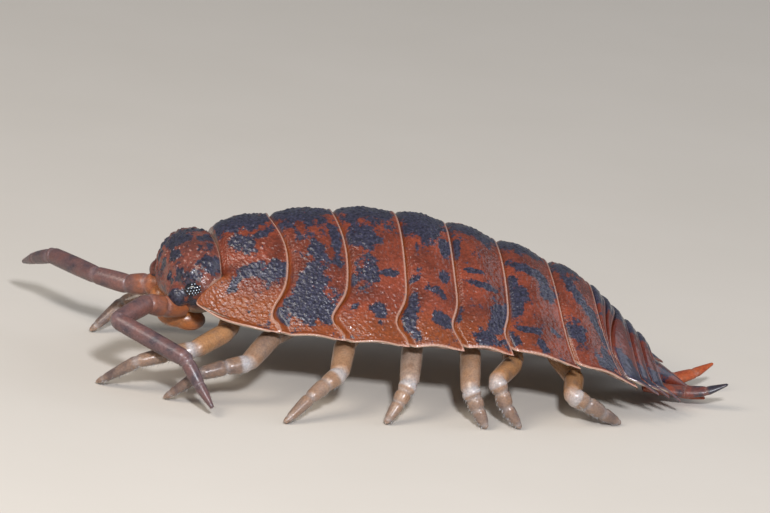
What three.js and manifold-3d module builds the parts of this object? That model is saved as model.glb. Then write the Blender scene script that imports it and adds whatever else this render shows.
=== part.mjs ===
// A rough woodlouse, life size, standing on its fourteen feet. Millimetres, +Z up, head towards -X,
// left side towards -Y.
// The body is built in its own coordinates: s runs along a gently bent body line from the brow to the tail,
// y across it, and z up from the level of the side plates' lower edge.
import * as THREE from "three";
import { mergeVertices } from "three/addons/utils/BufferGeometryUtils.js";
import Module from "manifold-3d";

const wasm = await Module();
wasm.setup();

// Driving dimensions
const BODY_LENGTH = 16.4; // brow to tail spike, along the body line
const MIDDLE_S = 8; // the station that stands over the origin before centring
const RIDE_HEIGHT = 2.15; // side plates' lower edge above the floor, at the middle
const GAP = 0.12; // clearance between neighbouring nodes
const BELLY_Z = 0.35; // underside of the trunk, tucked up inside the side plates
const BELLY_SHARE = 0.56; // share of the half width that the trunk fills
const PLATE_THICK = 0.5; // side plate where it leaves the trunk
const EDGE_THICK = 0.16; // side plate at its lower edge
const EDGE_RISE = 0.04; // top of the plate's edge above the body line
const STEP = 0.14; // how far each plate's hind rim stands above the next plate
const UNDERCUT = 0.22; // how far the hind wall of a plate leans forward
const CORNER_LIFT = 0.42; // how far the first plate's front corner rises beside the head

// Body line: pitch grows towards the tail, and the body bends sideways a little
const PITCH_FRONT = THREE.MathUtils.degToRad(0.5);
const PITCH_REAR = THREE.MathUtils.degToRad(17);
const PITCH_TAIL = THREE.MathUtils.degToRad(12);
const YAW_HEAD = THREE.MathUtils.degToRad(4);
const YAW_TAIL = THREE.MathUtils.degToRad(-4.5);

// Segment plates: rim is the hind margin's station on the midline, half is the half width and rise the
// height there.
// bulge, dip and sweep bend the hind margin back, forward and back again from the middle to the corner.
const PLATES = [
  { name: "pereonite_1", rim: 3.15, half: 3.1, rise: 2.48, bulge: 0.33, dip: 0.3, sweep: 0.12 },
  { name: "pereonite_2", rim: 5.0, half: 3.5, rise: 2.72, bulge: 0.2, dip: 0.4, sweep: 0.12 },
  { name: "pereonite_3", rim: 6.85, half: 3.7, rise: 2.78, bulge: 0.03, dip: 0.36, sweep: 0.14 },
  { name: "pereonite_4", rim: 8.33, half: 3.72, rise: 2.6, bulge: 0, dip: 0.26, sweep: 0.3 },
  { name: "pereonite_5", rim: 9.77, half: 3.62, rise: 2.22, bulge: 0.06, dip: 0.18, sweep: 0.36 },
  { name: "pereonite_6", rim: 11.2, half: 3.45, rise: 1.88, bulge: 0.06, dip: 0, sweep: 1.0 },
  { name: "pereonite_7", rim: 12.5, half: 3.2, rise: 1.55, bulge: 0, dip: 0, sweep: 1.6 },
  { name: "pleonite_1", rim: 12.98, half: 2.3, rise: 1.24, bulge: 0, dip: 0, sweep: 0.75 },
  { name: "pleonite_2", rim: 13.35, half: 2.35, rise: 1.1, bulge: 0, dip: 0, sweep: 0.8 },
  { name: "pleonite_3", rim: 13.76, half: 2.75, rise: 0.92, bulge: 0, dip: 0, sweep: 1.15 },
  { name: "pleonite_4", rim: 14.2, half: 2.32, rise: 0.74, bulge: 0, dip: 0, sweep: 1.15 },
  { name: "pleonite_5", rim: 14.68, half: 1.86, rise: 0.56, bulge: 0, dip: 0, sweep: 1.15 },
];
const SWEEP_POWER = 2.4;
const HEAD = { rim: 1.62, half: 1.86 };
const TELSON = { half: 0.95, rise: 0.42, tipRise: 0.12 };

// Legs, front to back, in the standing frame: where each comes out from under the side plate, its knee,
// wrist and foot.
const LEFT_LEGS = [
  { out: [-6.0, -2.1, 1.78], knee: [-7.0, -2.8, 1.4], wrist: [-8.6, -2.85, 0.98], foot: [-9.58, -2.1] },
  { out: [-4.75, -2.4, 1.8], knee: [-5.54, -3.4, 1.28], wrist: [-6.9, -3.66, 0.98], foot: [-7.8, -3.2] },
  { out: [-2.65, -2.6, 1.8], knee: [-2.96, -3.8, 1.25], wrist: [-3.85, -4.4, 0.68], foot: [-4.59, -4.85] },
  { out: [-0.7, -2.6, 1.8], knee: [-0.92, -3.8, 1.1], wrist: [-1.22, -4.1, 0.58], foot: [-1.6, -4.38] },
  { out: [1.0, -2.6, 1.75], knee: [0.86, -3.8, 1.02], wrist: [1.1, -4.05, 0.5], foot: [1.37, -4.28] },
  { out: [2.3, -2.6, 1.5], knee: [1.6, -3.7, 1.3], wrist: [1.95, -3.95, 0.6], foot: [2.4, -4.09] },
  { out: [4.2, -2.3, 1.1], knee: [3.94, -3.4, 0.89], wrist: [4.9, -3.3, 0.4], foot: [5.54, -3.05] },
];
const RIGHT_LEGS = [
  { out: [-6.0, 2.1, 1.75], knee: [-7.0, 2.9, 1.4], wrist: [-8.2, 3.0, 0.9], foot: [-9.1, 2.8] },
  { out: [-4.6, 2.4, 1.8], knee: [-5.3, 3.4, 1.3], wrist: [-6.1, 3.9, 0.75], foot: [-6.7, 4.2] },
  { out: [-2.6, 2.6, 1.8], knee: [-2.9, 3.75, 1.25], wrist: [-3.3, 4.3, 0.7], foot: [-3.6, 4.7] },
  { out: [-0.7, 2.6, 1.8], knee: [-0.6, 3.85, 1.15], wrist: [-0.7, 4.4, 0.62], foot: [-0.75, 4.8] },
  { out: [1.0, 2.6, 1.75], knee: [1.2, 3.8, 1.05], wrist: [1.6, 4.3, 0.55], foot: [1.95, 4.65] },
  { out: [2.5, 2.5, 1.55], knee: [2.9, 3.55, 0.95], wrist: [3.5, 4.0, 0.48], foot: [4.0, 4.25] },
  { out: [4.1, 2.2, 1.15], knee: [4.4, 3.1, 0.8], wrist: [5.3, 3.4, 0.38], foot: [5.95, 3.5] },
];
const HIP_SHARE = 0.42; // hip from the midline, as a share of the half width
const HIP_BACK = [1.0, 0.85, 0.95, 0.72, 0.72, 0.76, 0.7]; // hip ahead of its plate's hind margin
const ISCHIUM_WIDE = 0.66;
const SHANK_WIDE = 0.52;
const FOOT_WIDE = 0.34;

// Tail branches, in the standing frame: the outer pair flares upwards, the inner pair lies flat below.
// The tail is bent towards the left by TAIL_BEND.
const TAIL_BEND = 0.3;
const OUTER_TAIL = { hinge: [7.86, 0.62, 0.45], middle: [8.45, 0.85, 0.58], tip: [9.02, 1.0, 0.87] };
const INNER_TAIL = { hinge: [7.55, 0.36, 0.36], middle: [8.05, 0.36, 0.27], tip: [8.55, 0.38, 0.22] };

// Feelers: joints in body coordinates s, y, z, from the root under the brow lobe to the tip
const LEFT_FEELER = {
  peduncle: [
    [0.75, -0.95, 0.0], [0.1, -1.3, 0.02], [-0.42, -1.46, 0.15], [-1.46, -2.23, -0.16], [0.32, -3.5, -0.78],
  ],
  flagellum: [[0.42, -3.62, -0.88], [0.75, -4.0, -1.4], [1.1, -4.5, -1.9]],
};
const RIGHT_FEELER = {
  peduncle: [
    [0.75, 0.95, 0.0], [0.2, 1.3, -0.1], [-0.26, 1.68, -0.26], [-1.06, 2.35, -0.23], [-1.9, 4.13, -0.25],
  ],
  flagellum: [[-2.0, 4.25, -0.3], [-2.2, 5.0, -0.6], [-2.34, 5.78, -0.96]],
};
const FEELER_WIDE = [0.66, 0.6, 0.56, 0.5, 0.5];
const FLAGELLUM_WIDE = [0.42, 0.36, 0.16];

const clamp01 = (x) => Math.min(1, Math.max(0, x));
const smooth = (x) => clamp01(x) ** 2 * (3 - 2 * clamp01(x));
const mix = (a, b, k) => a + (b - a) * k;

// Pitch and yaw of the body line at a station.
const pitchAt = (s) =>
  PITCH_FRONT + (PITCH_REAR - PITCH_FRONT) * smooth((s - 8) / 6.5) + PITCH_TAIL * smooth((s - 13) / 3.4);
const yawAt = (s) => mix(YAW_HEAD, YAW_TAIL, Math.min(1.2, Math.max(-0.2, s / 16)));

// The body line, added up in small steps both ways from the middle.
const STEP_S = 0.01;
const FIRST_S = -5;
const LAST_S = 20;
const tangentAt = (s) =>
  new THREE.Vector3(
    Math.cos(pitchAt(s)) * Math.cos(yawAt(s)),
    Math.cos(pitchAt(s)) * Math.sin(yawAt(s)),
    -Math.sin(pitchAt(s)),
  );
const BODY_LINE = (() => {
  const points = [new THREE.Vector3()];
  for (let s = FIRST_S; s < LAST_S; s += STEP_S) {
    points.push(points.at(-1).clone().addScaledVector(tangentAt(s + STEP_S / 2), STEP_S));
  }
  const middle = points[Math.round((MIDDLE_S - FIRST_S) / STEP_S)].clone();
  middle.z -= RIDE_HEIGHT;
  return points.map((p) => p.sub(middle));
})();
const lineAt = (s) => {
  const at = (s - FIRST_S) / STEP_S;
  const i = Math.floor(at);
  return BODY_LINE[i].clone().lerp(BODY_LINE[i + 1], at - i);
};

// Body coordinates to the part's frame.
const place = (s, y, z) => {
  const yaw = yawAt(s);
  const pitch = pitchAt(s);
  const across = new THREE.Vector3(-Math.sin(yaw), Math.cos(yaw), 0);
  const up = new THREE.Vector3(Math.cos(yaw), Math.sin(yaw), 0).multiplyScalar(Math.sin(pitch));
  up.z = Math.cos(pitch);
  return lineAt(s).addScaledVector(across, y).addScaledVector(up, z);
};

// Cross-section of the back: 1 on the midline, 0 at the edge, with the side plates flaring out.
const arch = (t) => 0.62 * (1 - t ** 2.2) + 0.19 * (1 + Math.cos(Math.PI * t));

// A value read along the body from the plates' own sizes.
const STATIONS = [
  { rim: -0.2, half: 1.2, rise: 0.9 },
  { rim: 0.8, half: 2.1, rise: 1.75 },
  { rim: 1.62, half: 2.35, rise: 2.1 },
  ...PLATES.filter((p) => !["pleonite_1", "pleonite_2"].includes(p.name)),
  { rim: 15.6, half: 1.2, rise: 0.45 },
  { rim: BODY_LENGTH + 0.4, half: 0.8, rise: 0.2 },
];
const along = (s, key) => {
  let i = 0;
  while (i < STATIONS.length - 2 && s > STATIONS[i + 1].rim) i += 1;
  const a = STATIONS[i];
  const b = STATIONS[i + 1];
  return mix(a[key], b[key], clamp01((s - a.rim) / (b.rim - a.rim)));
};

// A closed solid between two sheets over the same grid; both are split into triangles the same way.
function slab(nu, nv, top, bottom) {
  const points = [];
  for (const sheet of [top, bottom]) {
    for (let i = 0; i <= nu; i += 1) {
      for (let j = 0; j <= nv; j += 1) points.push(sheet(i / nu, j / nv));
    }
  }
  const at = (w, i, j) => w * (nu + 1) * (nv + 1) + i * (nv + 1) + j;
  const faces = [];
  const quad = (a, b, c, d) => faces.push(a, b, c, a, c, d);
  for (let i = 0; i < nu; i += 1) {
    for (let j = 0; j < nv; j += 1) {
      quad(at(0, i, j), at(0, i + 1, j), at(0, i + 1, j + 1), at(0, i, j + 1));
      faces.push(at(1, i, j), at(1, i + 1, j + 1), at(1, i + 1, j));
      faces.push(at(1, i, j), at(1, i, j + 1), at(1, i + 1, j + 1));
    }
  }
  for (let j = 0; j < nv; j += 1) {
    quad(at(0, 0, j), at(0, 0, j + 1), at(1, 0, j + 1), at(1, 0, j));
    quad(at(0, nu, j + 1), at(0, nu, j), at(1, nu, j), at(1, nu, j + 1));
  }
  for (let i = 0; i < nu; i += 1) {
    quad(at(0, i + 1, 0), at(0, i, 0), at(1, i, 0), at(1, i + 1, 0));
    quad(at(0, i, nv), at(0, i + 1, nv), at(1, i + 1, nv), at(1, i, nv));
  }
  return solidFrom(points, faces);
}

// A manifold-3d solid from points and faces, turned the right way round.
function solidFrom(points, faces) {
  const geometry = new THREE.BufferGeometry().setFromPoints(points).setIndex(faces);
  const merged = mergeVertices(geometry, 1e-5);
  const triVerts = new Uint32Array(merged.index.array);
  const vertProperties = merged.attributes.position.array;
  let made = new wasm.Manifold(new wasm.Mesh({ numProp: 3, vertProperties, triVerts }));
  if (made.volume() < 0) {
    for (let i = 0; i < triVerts.length; i += 3) {
      [triVerts[i + 1], triVerts[i + 2]] = [triVerts[i + 2], triVerts[i + 1]];
    }
    made = new wasm.Manifold(new wasm.Mesh({ numProp: 3, vertProperties, triVerts }));
  }
  return made;
}

// A tube of round-cornered rings. Each ring is { at, side, up, wide, tall }.
function rings(list, sides) {
  const points = [];
  for (const r of list) {
    for (let k = 0; k < sides; k += 1) {
      const a = (2 * Math.PI * (k + 0.5)) / sides;
      points.push(
        r.at
          .clone()
          .addScaledVector(r.side, (Math.cos(a) * r.wide) / 2)
          .addScaledVector(r.up, (Math.sin(a) * r.tall) / 2),
      );
    }
  }
  const first = points.length;
  points.push(list[0].at.clone(), list.at(-1).at.clone());
  const faces = [];
  for (let i = 0; i < list.length - 1; i += 1) {
    for (let k = 0; k < sides; k += 1) {
      const a = i * sides + k;
      const b = i * sides + ((k + 1) % sides);
      faces.push(a, b, b + sides, a, b + sides, a + sides);
    }
  }
  const last = (list.length - 1) * sides;
  for (let k = 0; k < sides; k += 1) {
    faces.push(first, (k + 1) % sides, k, first + 1, last + k, last + ((k + 1) % sides));
  }
  return solidFrom(points, faces);
}

// Rings along a path, each square to it, with widths read along the path's own length.
function limb(path, wideAt, flatness, count, sides, rootUp) {
  const curve = new THREE.CatmullRomCurve3(path, false, "centripetal");
  const list = [];
  let side = null;
  for (let i = 0; i <= count; i += 1) {
    const u = i / count;
    const along = curve.getTangentAt(u);
    if (!side) side = new THREE.Vector3().crossVectors(along, new THREE.Vector3(0, 1, 0.2)).normalize();
    side = side.addScaledVector(along, -side.dot(along)).normalize();
    const up = new THREE.Vector3().crossVectors(side, along).normalize();
    const wide = wideAt(u);
    const ring = { at: curve.getPointAt(u), side: side.clone(), up, wide, tall: wide * flatness };
    if (i === 0 && rootUp) {
      ring.side = new THREE.Vector3().crossVectors(rootUp, new THREE.Vector3(0, 1, 0)).normalize();
      ring.up = new THREE.Vector3().crossVectors(ring.side, rootUp.clone().negate()).normalize();
      side = ring.side.clone();
    }
    list.push(ring);
  }
  return rings(list, sides);
}

// A ball stretched to three radii, in body coordinates.
function ball(centre, radii, detail = 14) {
  const geometry = new THREE.SphereGeometry(1, detail, Math.round(detail * 0.7));
  geometry.deleteAttribute("normal");
  geometry.deleteAttribute("uv");
  const merged = mergeVertices(geometry, 1e-4);
  const p = merged.attributes.position;
  const points = [];
  for (let i = 0; i < p.count; i += 1) {
    const [s, y, z] = [p.getX(i), p.getY(i), p.getZ(i)].map((v, k) => centre[k] + v * radii[k]);
    points.push(place(s, y, z));
  }
  return solidFrom(points, [...merged.index.array]);
}

// Hind margin of a plate at a distance from the midline.
const marginAt = (plate, y) => {
  const t = Math.min(1.1, Math.abs(y) / plate.half);
  const bulge = plate.bulge * Math.sin(Math.PI * Math.min(1, t)) ** 2;
  const dip = plate.dip * Math.exp(-(((t - 0.86) / 0.1) ** 2));
  return plate.rim + bulge - dip + plate.sweep * t ** SWEEP_POWER;
};
// Front margin of the first plate: it wraps round the head and runs forward beside the eyes.
const collarAt = (y) =>
  HEAD.rim + 0.06 * Math.min(1, Math.abs(y)) - 0.85 * smooth((Math.abs(y) - 1.6) / 0.55);

const grown = (before, plate) => (u) => mix(mix(before, plate.half, 0.35), plate.half, smooth(u * 1.5));

function plateSolid(index) {
  const plate = PLATES[index];
  const first = index === 0;
  const before = first ? null : PLATES[index - 1];
  const pereonite7 = PLATES[6];
  const front = (y) => {
    if (first) return collarAt(y);
    const near = marginAt(before, y);
    return index > 7 ? Math.max(near, marginAt(pereonite7, y)) : near;
  };
  const beforeHalf = first ? 2.1 : Math.min(before.half, plate.half);
  const halfAt = first
    ? (u) => mix(2.1, plate.half, Math.sin((clamp01(u) * Math.PI) / 2) ** 0.9)
    : grown(beforeHalf, plate);
  const station = (u, y, shift) => mix(front(y) + (first ? 0 : GAP), marginAt(plate, y), u) - shift;
  const backZ = (s, y, u) => {
    const half = Math.max(along(s, "half"), Math.abs(y));
    const rimLift = STEP * (0.25 + 0.75 * smooth(u * 1.4)) - STEP;
    const swell = 0.09 * Math.sin(Math.PI * clamp01(u)) ** 2;
    const t = Math.min(1, Math.abs(y) / half);
    const corner = first ? CORNER_LIFT * clamp01(1 - u / 0.6) ** 2 * smooth((Math.abs(y) - 1.3) / 0.7) : 0;
    return along(s, "rise") * arch(t) + EDGE_RISE + rimLift + swell + corner;
  };
  const across = (v) => Math.sin(((v * 2 - 1) * Math.PI) / 2);
  const surface = (u, v) => {
    const t = across(v);
    const y = t * halfAt(u);
    const s = station(u, y, 0);
    return { s, y, t, z: backZ(s, y, u) };
  };
  const top = (u, v) => {
    const p = surface(u, v);
    return place(p.s, p.y, p.z);
  };
  const bottom = (u, v) => {
    const p = surface(u, v);
    const t = Math.abs(p.t);
    const thick = mix(PLATE_THICK, EDGE_THICK, smooth((t - 0.72) / 0.28));
    const trunk = 1 - smooth((t - BELLY_SHARE) / 0.12);
    const z = mix(p.z - thick, Math.min(BELLY_Z * (plate.rise / 2.5), p.z - PLATE_THICK), trunk);
    const lean = UNDERCUT * Math.min(1, (p.z - z) / 0.4) * (first ? u : 1);
    return place(p.s - lean, p.y, z);
  };
  const nu = index < 7 ? 5 : 3;
  const nv = index < 7 ? 24 : 16;
  return slab(nu, nv, top, bottom);
}

function telsonSolid(extra) {
  const base = PLATES.at(-1);
  const half = (u) => mix(TELSON.half, 0.1, clamp01(u) ** 0.62);
  const shape = (u, v, below) => {
    const t = v * 2 - 1;
    const y = t * (half(u) + extra);
    const s = mix(marginAt(base, y) + GAP, BODY_LENGTH + extra, u);
    const crown = mix(TELSON.rise, TELSON.tipRise, u) * (1 - 0.45 * t * t) + EDGE_RISE - 0.04;
    const z = below ? Math.min(crown - mix(0.5, 0.2, u), 0.05) - extra : crown + extra;
    return place(s - (below ? 0.12 * (1 - u) : 0), y, z);
  };
  return slab(8, 8, (u, v) => shape(u, v, false), (u, v) => shape(u, v, true));
}

// The head: a skull with a blunt middle lobe and a rounded lobe in front of each eye.
const EYE = { s: 0.92, y: 1.6, z: 0.73, radii: [0.36, 0.24, 0.2] };
function skull(extra) {
  let made = ball([1.2, 0, 0.76], [1.02 + extra, HEAD.half + extra, 1.14 + extra], 22);
  made = made.add(ball([0.5, 0, 0.42], [0.32 + extra, 0.8 + extra, 0.34 + extra], 12));
  for (const side of [-1, 1]) {
    made = made.add(ball([0.52, side * 1.22, 0.36], [0.32 + extra, 0.34 + extra, 0.32 + extra], 12));
  }
  return made;
}
function collarCutter() {
  const sheet = (z) => (u, v) => {
    const y = (v * 2 - 1) * 3.4;
    return place(mix(collarAt(y) - GAP, 4, u), y, z);
  };
  return slab(1, 20, sheet(4), sheet(-1.2));
}
const eyeSolid = (side, extra) =>
  ball([EYE.s, side * EYE.y, EYE.z], EYE.radii.map((r) => r + extra), 12);

function headSolid() {
  let made = skull(0).subtract(collarCutter());
  for (const side of [-1, 1]) made = made.subtract(eyeSolid(side, GAP * 0.6));
  return largest(made);
}

// After a cut a node keeps only its largest closed surface.
function largest(solid) {
  return solid.decompose().sort((a, b) => b.volume() - a.volume())[0];
}

const jaws = (extra) => ball([0.85, 0, -0.42], [0.72 + extra, 0.98 + extra, 0.44 + extra], 14);
function mouthSolid() {
  return largest(jaws(0).subtract(skull(GAP)).subtract(collarCutter()));
}

function feelerSolid(joints, widths) {
  const path = joints.map(([s, y, z]) => place(s, y, z));
  const lengths = [0];
  for (let i = 1; i < path.length; i += 1) lengths.push(lengths.at(-1) + path[i].distanceTo(path[i - 1]));
  const total = lengths.at(-1);
  const list = [];
  path.forEach((p, i) => {
    const before = path[Math.max(0, i - 1)];
    const after = path[Math.min(path.length - 1, i + 1)];
    const dirIn = p.clone().sub(before).normalize();
    const dirOut = after.clone().sub(p).normalize();
    const wide = widths[i];
    const bend = i === 0 ? dirOut : i === path.length - 1 ? dirIn : dirIn.clone().add(dirOut).normalize();
    const inner = i > 0 && i < path.length - 1;
    if (i > 0) list.push({ at: p.clone().addScaledVector(dirIn, inner ? -wide * 0.5 : 0), dir: dirIn, wide });
    if (inner) list.push({ at: p, dir: bend, wide: wide * 0.9 });
    if (i === path.length - 1) return;
    list.push({ at: p.clone().addScaledVector(dirOut, inner ? wide * 0.5 : 0), dir: dirOut, wide });
    if (lengths[i + 1] - lengths[i] > total * 0.2) {
      list.push({ at: p.clone().lerp(after, 0.5), dir: dirOut, wide: mix(wide, widths[i + 1], 0.5) * 1.06 });
    }
  });
  let side = new THREE.Vector3(0.2, 0.1, 1);
  const made = list.map((r) => {
    side = side.clone().addScaledVector(r.dir, -side.dot(r.dir)).normalize();
    return { at: r.at, side, up: new THREE.Vector3().crossVectors(side, r.dir), wide: r.wide, tall: r.wide };
  });
  return rings(made, 8);
}

function legSolid(pair, stance, side) {
  const plate = PLATES[pair];
  const hipS = plate.rim - HIP_BACK[pair];
  const hipY = side * plate.half * HIP_SHARE;
  const belly = BELLY_Z * (plate.rise / 2.5);
  const hip = place(hipS, hipY, belly - GAP);
  const under = place(hipS, hipY * 1.08, belly - GAP - 0.34);
  const [out, knee, wrist] = [stance.out, stance.knee, stance.wrist].map((p) => new THREE.Vector3(...p));
  const foot = new THREE.Vector3(...stance.foot, -0.06);
  const path = [hip, under, out, knee, wrist, foot];
  const wideAt = (u) => {
    const root = mix(0.58, ISCHIUM_WIDE, smooth(u / 0.3));
    const low = mix(root, SHANK_WIDE, smooth((u - 0.46) / 0.12));
    return mix(low, FOOT_WIDE, smooth((u - 0.7) / 0.3));
  };
  const up = place(hipS, hipY, 1).sub(place(hipS, hipY, 0)).normalize();
  const made = limb(path, wideAt, 0.86, 16, 8, up);
  return largest(made.trimByPlane([0, 0, 1], 0));
}

function uropodSolid(side) {
  const at = ([x, y, z]) => new THREE.Vector3(x, side * y - TAIL_BEND, z);
  const root = place(15.0, side * 0.62, -0.44);
  const outer = [root, at(OUTER_TAIL.hinge), at(OUTER_TAIL.middle), at(OUTER_TAIL.tip)];
  const inner = [at(INNER_TAIL.hinge), at(INNER_TAIL.middle), at(INNER_TAIL.tip)];
  const branch = limb(outer, (u) => mix(0.5, 0.14, smooth((u - 0.4) / 0.6)), 0.7, 12, 8);
  const rod = limb(inner, (u) => mix(0.36, 0.14, u), 0.8, 6, 8);
  const bridge = ball([15.4, side * 0.5, -0.42], [0.36, 0.32, 0.18], 10);
  return largest(branch.add(rod).add(bridge).subtract(telsonSolid(GAP)));
}

// Gill plates under the tail, in overlapping pairs.
function pleopodSolid(index, side) {
  const s0 = 12.6 + index * 0.47;
  const wide = mix(1.45, 0.5, index / 4);
  const shape = (u, v, below) => {
    const y = side * (0.1 + v * wide);
    const z = mix(0.0, -0.26, u) - 0.06 * index + (below ? -0.16 : 0) - 0.06 * Math.sin(Math.PI * v);
    return place(s0 + u * 0.5 - 0.14 * (2 * v - 1) ** 2 * u, y, z);
  };
  return slab(3, 4, (u, v) => shape(u, v, false), (u, v) => shape(u, v, true));
}

const material = (color, roughness) => new THREE.MeshStandardMaterial({ color, roughness, metalness: 0 });
const shellMaterial = () => material(0xa24e26, 0.42);
const limbMaterial = () => material(0xb39a7c, 0.5);
const feelerMaterial = () => material(0x67505a, 0.5);
const eyeMaterial = () => material(0x0e0f14, 0.2);

const louse = new THREE.Group();
function addNode(name, solid, paint) {
  const m = solid.getMesh();
  const geometry = new THREE.BufferGeometry();
  const positions = new Float32Array(m.numVert * 3);
  for (let i = 0; i < m.numVert; i += 1) {
    positions.set(m.vertProperties.subarray(i * m.numProp, i * m.numProp + 3), i * 3);
  }
  geometry.setAttribute("position", new THREE.BufferAttribute(positions, 3));
  geometry.setIndex(new THREE.BufferAttribute(m.triVerts, 1));
  geometry.computeVertexNormals();
  const mesh = new THREE.Mesh(geometry, paint);
  mesh.name = name;
  louse.add(mesh);
  return mesh;
}

addNode("cephalon", headSolid(), shellMaterial());
addNode("mouthparts", mouthSolid(), limbMaterial());
PLATES.forEach((plate, i) => addNode(plate.name, plateSolid(i), shellMaterial()));
addNode("telson", telsonSolid(0), shellMaterial());
for (const [word, side, legs, feeler] of [
  ["left", -1, LEFT_LEGS, LEFT_FEELER],
  ["right", 1, RIGHT_LEGS, RIGHT_FEELER],
]) {
  addNode("eye_" + word, eyeSolid(side, 0), eyeMaterial());
  const peduncle = feelerSolid(feeler.peduncle, FEELER_WIDE).subtract(skull(GAP)).subtract(jaws(GAP));
  addNode("antenna_" + word + "_peduncle", largest(peduncle), feelerMaterial());
  addNode("antenna_" + word + "_flagellum", feelerSolid(feeler.flagellum, FLAGELLUM_WIDE), feelerMaterial());
  legs.forEach((stance, pair) => {
    addNode("leg_" + word + "_" + (pair + 1), legSolid(pair, stance, side), limbMaterial());
  });
  addNode("uropod_" + word, uropodSolid(side), shellMaterial());
  for (let i = 0; i < 5; i += 1) {
    addNode("pleopod_" + word + "_" + (i + 1), pleopodSolid(i, side), limbMaterial());
  }
}

// The origin is moved on to the floor under the middle of the whole animal.
const middle = new THREE.Box3().setFromObject(louse).getCenter(new THREE.Vector3());
for (const mesh of louse.children) mesh.geometry.translate(-middle.x, -middle.y, 0);

export default louse;
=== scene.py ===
"""Looks of a rough woodlouse: its shell plates, head, feelers, legs, gills and tail."""

import bpy
import numpy as np
from mathutils import Matrix


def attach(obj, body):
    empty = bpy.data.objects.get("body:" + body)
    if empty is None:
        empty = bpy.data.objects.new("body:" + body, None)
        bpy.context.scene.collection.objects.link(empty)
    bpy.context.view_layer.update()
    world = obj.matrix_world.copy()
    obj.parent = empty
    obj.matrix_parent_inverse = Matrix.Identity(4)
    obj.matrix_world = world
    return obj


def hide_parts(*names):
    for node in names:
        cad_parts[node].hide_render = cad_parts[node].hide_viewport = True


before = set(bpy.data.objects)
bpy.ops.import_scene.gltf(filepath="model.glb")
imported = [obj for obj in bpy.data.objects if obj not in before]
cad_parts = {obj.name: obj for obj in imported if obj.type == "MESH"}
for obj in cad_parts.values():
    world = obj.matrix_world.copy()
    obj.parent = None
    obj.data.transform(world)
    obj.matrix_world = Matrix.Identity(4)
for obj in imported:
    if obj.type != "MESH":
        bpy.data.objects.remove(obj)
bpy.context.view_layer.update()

# Driving dimensions, in millimetres, as in the solids
MM = 0.001
CENTRE = np.array([-0.941, 0.179, 0.0])  # the middle of the whole animal in its standing frame
BODY_LENGTH = 16.4
MIDDLE_S = 8.0
RIDE_HEIGHT = 2.15  # of the body line above the floor, at its middle
BELLY_Z = 0.35  # of the belly above the body line, where the back is FULL_RISE high
FULL_RISE = 2.5
BELLY_SHARE = 0.56  # share of a plate's half width that the trunk fills
PLATE_THICK = 0.5
EDGE_THICK = 0.1  # of a plate's lower edges
EDGE_RISE = 0.04  # of the lower edges above the body line
CORNER_LIFT = 0.42  # of the first plate's front corners
LIP = 0.075  # thickness of a plate's hind lip
OVERLAP = 0.24  # how far a plate reaches forward under the lip before it
TUCK = 0.17  # how far the front of a plate lies below the lip before it
SWELL = 0.1  # how far a plate bulges between its margins
COLLAR_GAP = 0.05  # between the head and the first plate's collar

# Body line
PITCH_FRONT, PITCH_REAR, PITCH_TAIL = np.radians([0.5, 17.0, 12.0])
YAW_HEAD, YAW_TAIL = np.radians([4.0, -4.5])

# Shell plates: name, hind margin on the midline, half width, height, and the margin's bulge, dip and sweep
PLATES = [
    ("pereonite_1", 3.15, 3.1, 2.48, 0.33, 0.3, 0.12),
    ("pereonite_2", 5.0, 3.5, 2.72, 0.2, 0.4, 0.12),
    ("pereonite_3", 6.85, 3.7, 2.78, 0.03, 0.36, 0.14),
    ("pereonite_4", 8.33, 3.72, 2.6, 0.0, 0.26, 0.3),
    ("pereonite_5", 9.77, 3.62, 2.22, 0.06, 0.18, 0.36),
    ("pereonite_6", 11.2, 3.45, 1.88, 0.06, 0.0, 1.0),
    ("pereonite_7", 12.5, 3.2, 1.55, 0.0, 0.0, 1.6),
    ("pleonite_1", 12.98, 2.3, 1.24, 0.0, 0.0, 0.75),
    ("pleonite_2", 13.35, 2.35, 1.1, 0.0, 0.0, 0.8),
    ("pleonite_3", 13.76, 2.75, 0.92, 0.0, 0.0, 1.15),
    ("pleonite_4", 14.2, 2.32, 0.74, 0.0, 0.0, 1.15),
    ("pleonite_5", 14.68, 1.86, 0.56, 0.0, 0.0, 1.15),
]
LAST_TRUNK = 6  # number of the last trunk plate, after which come the tail plates
TRUNK_GRID = (84, 400)  # rows and columns of a trunk plate's outer face
TAIL_GRID = (26, 160)
SWEEP_POWER = 2.4
FIRST_FRONT_HALF = 2.1  # half width of the first plate at its front

# The first two tail plates: how far each still shows at the last trunk plate's corners, and their half width
NARROWING = {7: 0.06, 8: 0.13}
NARROWING_HALF = 2.8

# Studs of the back: the space between them, their radius and their height, and how much lower the coarse
# ones get from one plate to the next
COARSE_STUDS = (0.17, 0.075, 0.034)
FINE_STUDS = (0.09, 0.042, 0.011)
STUDS_LOWER = 0.0022

# Head and eyes
HEAD_RIM = 1.62
HEAD_HALF = 1.86
EYE = (0.92, 1.6, 0.73)
EYE_RADII = (0.36, 0.24, 0.2)
EYE_TILT = 0.3  # radians by which the eye rises backwards

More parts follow.
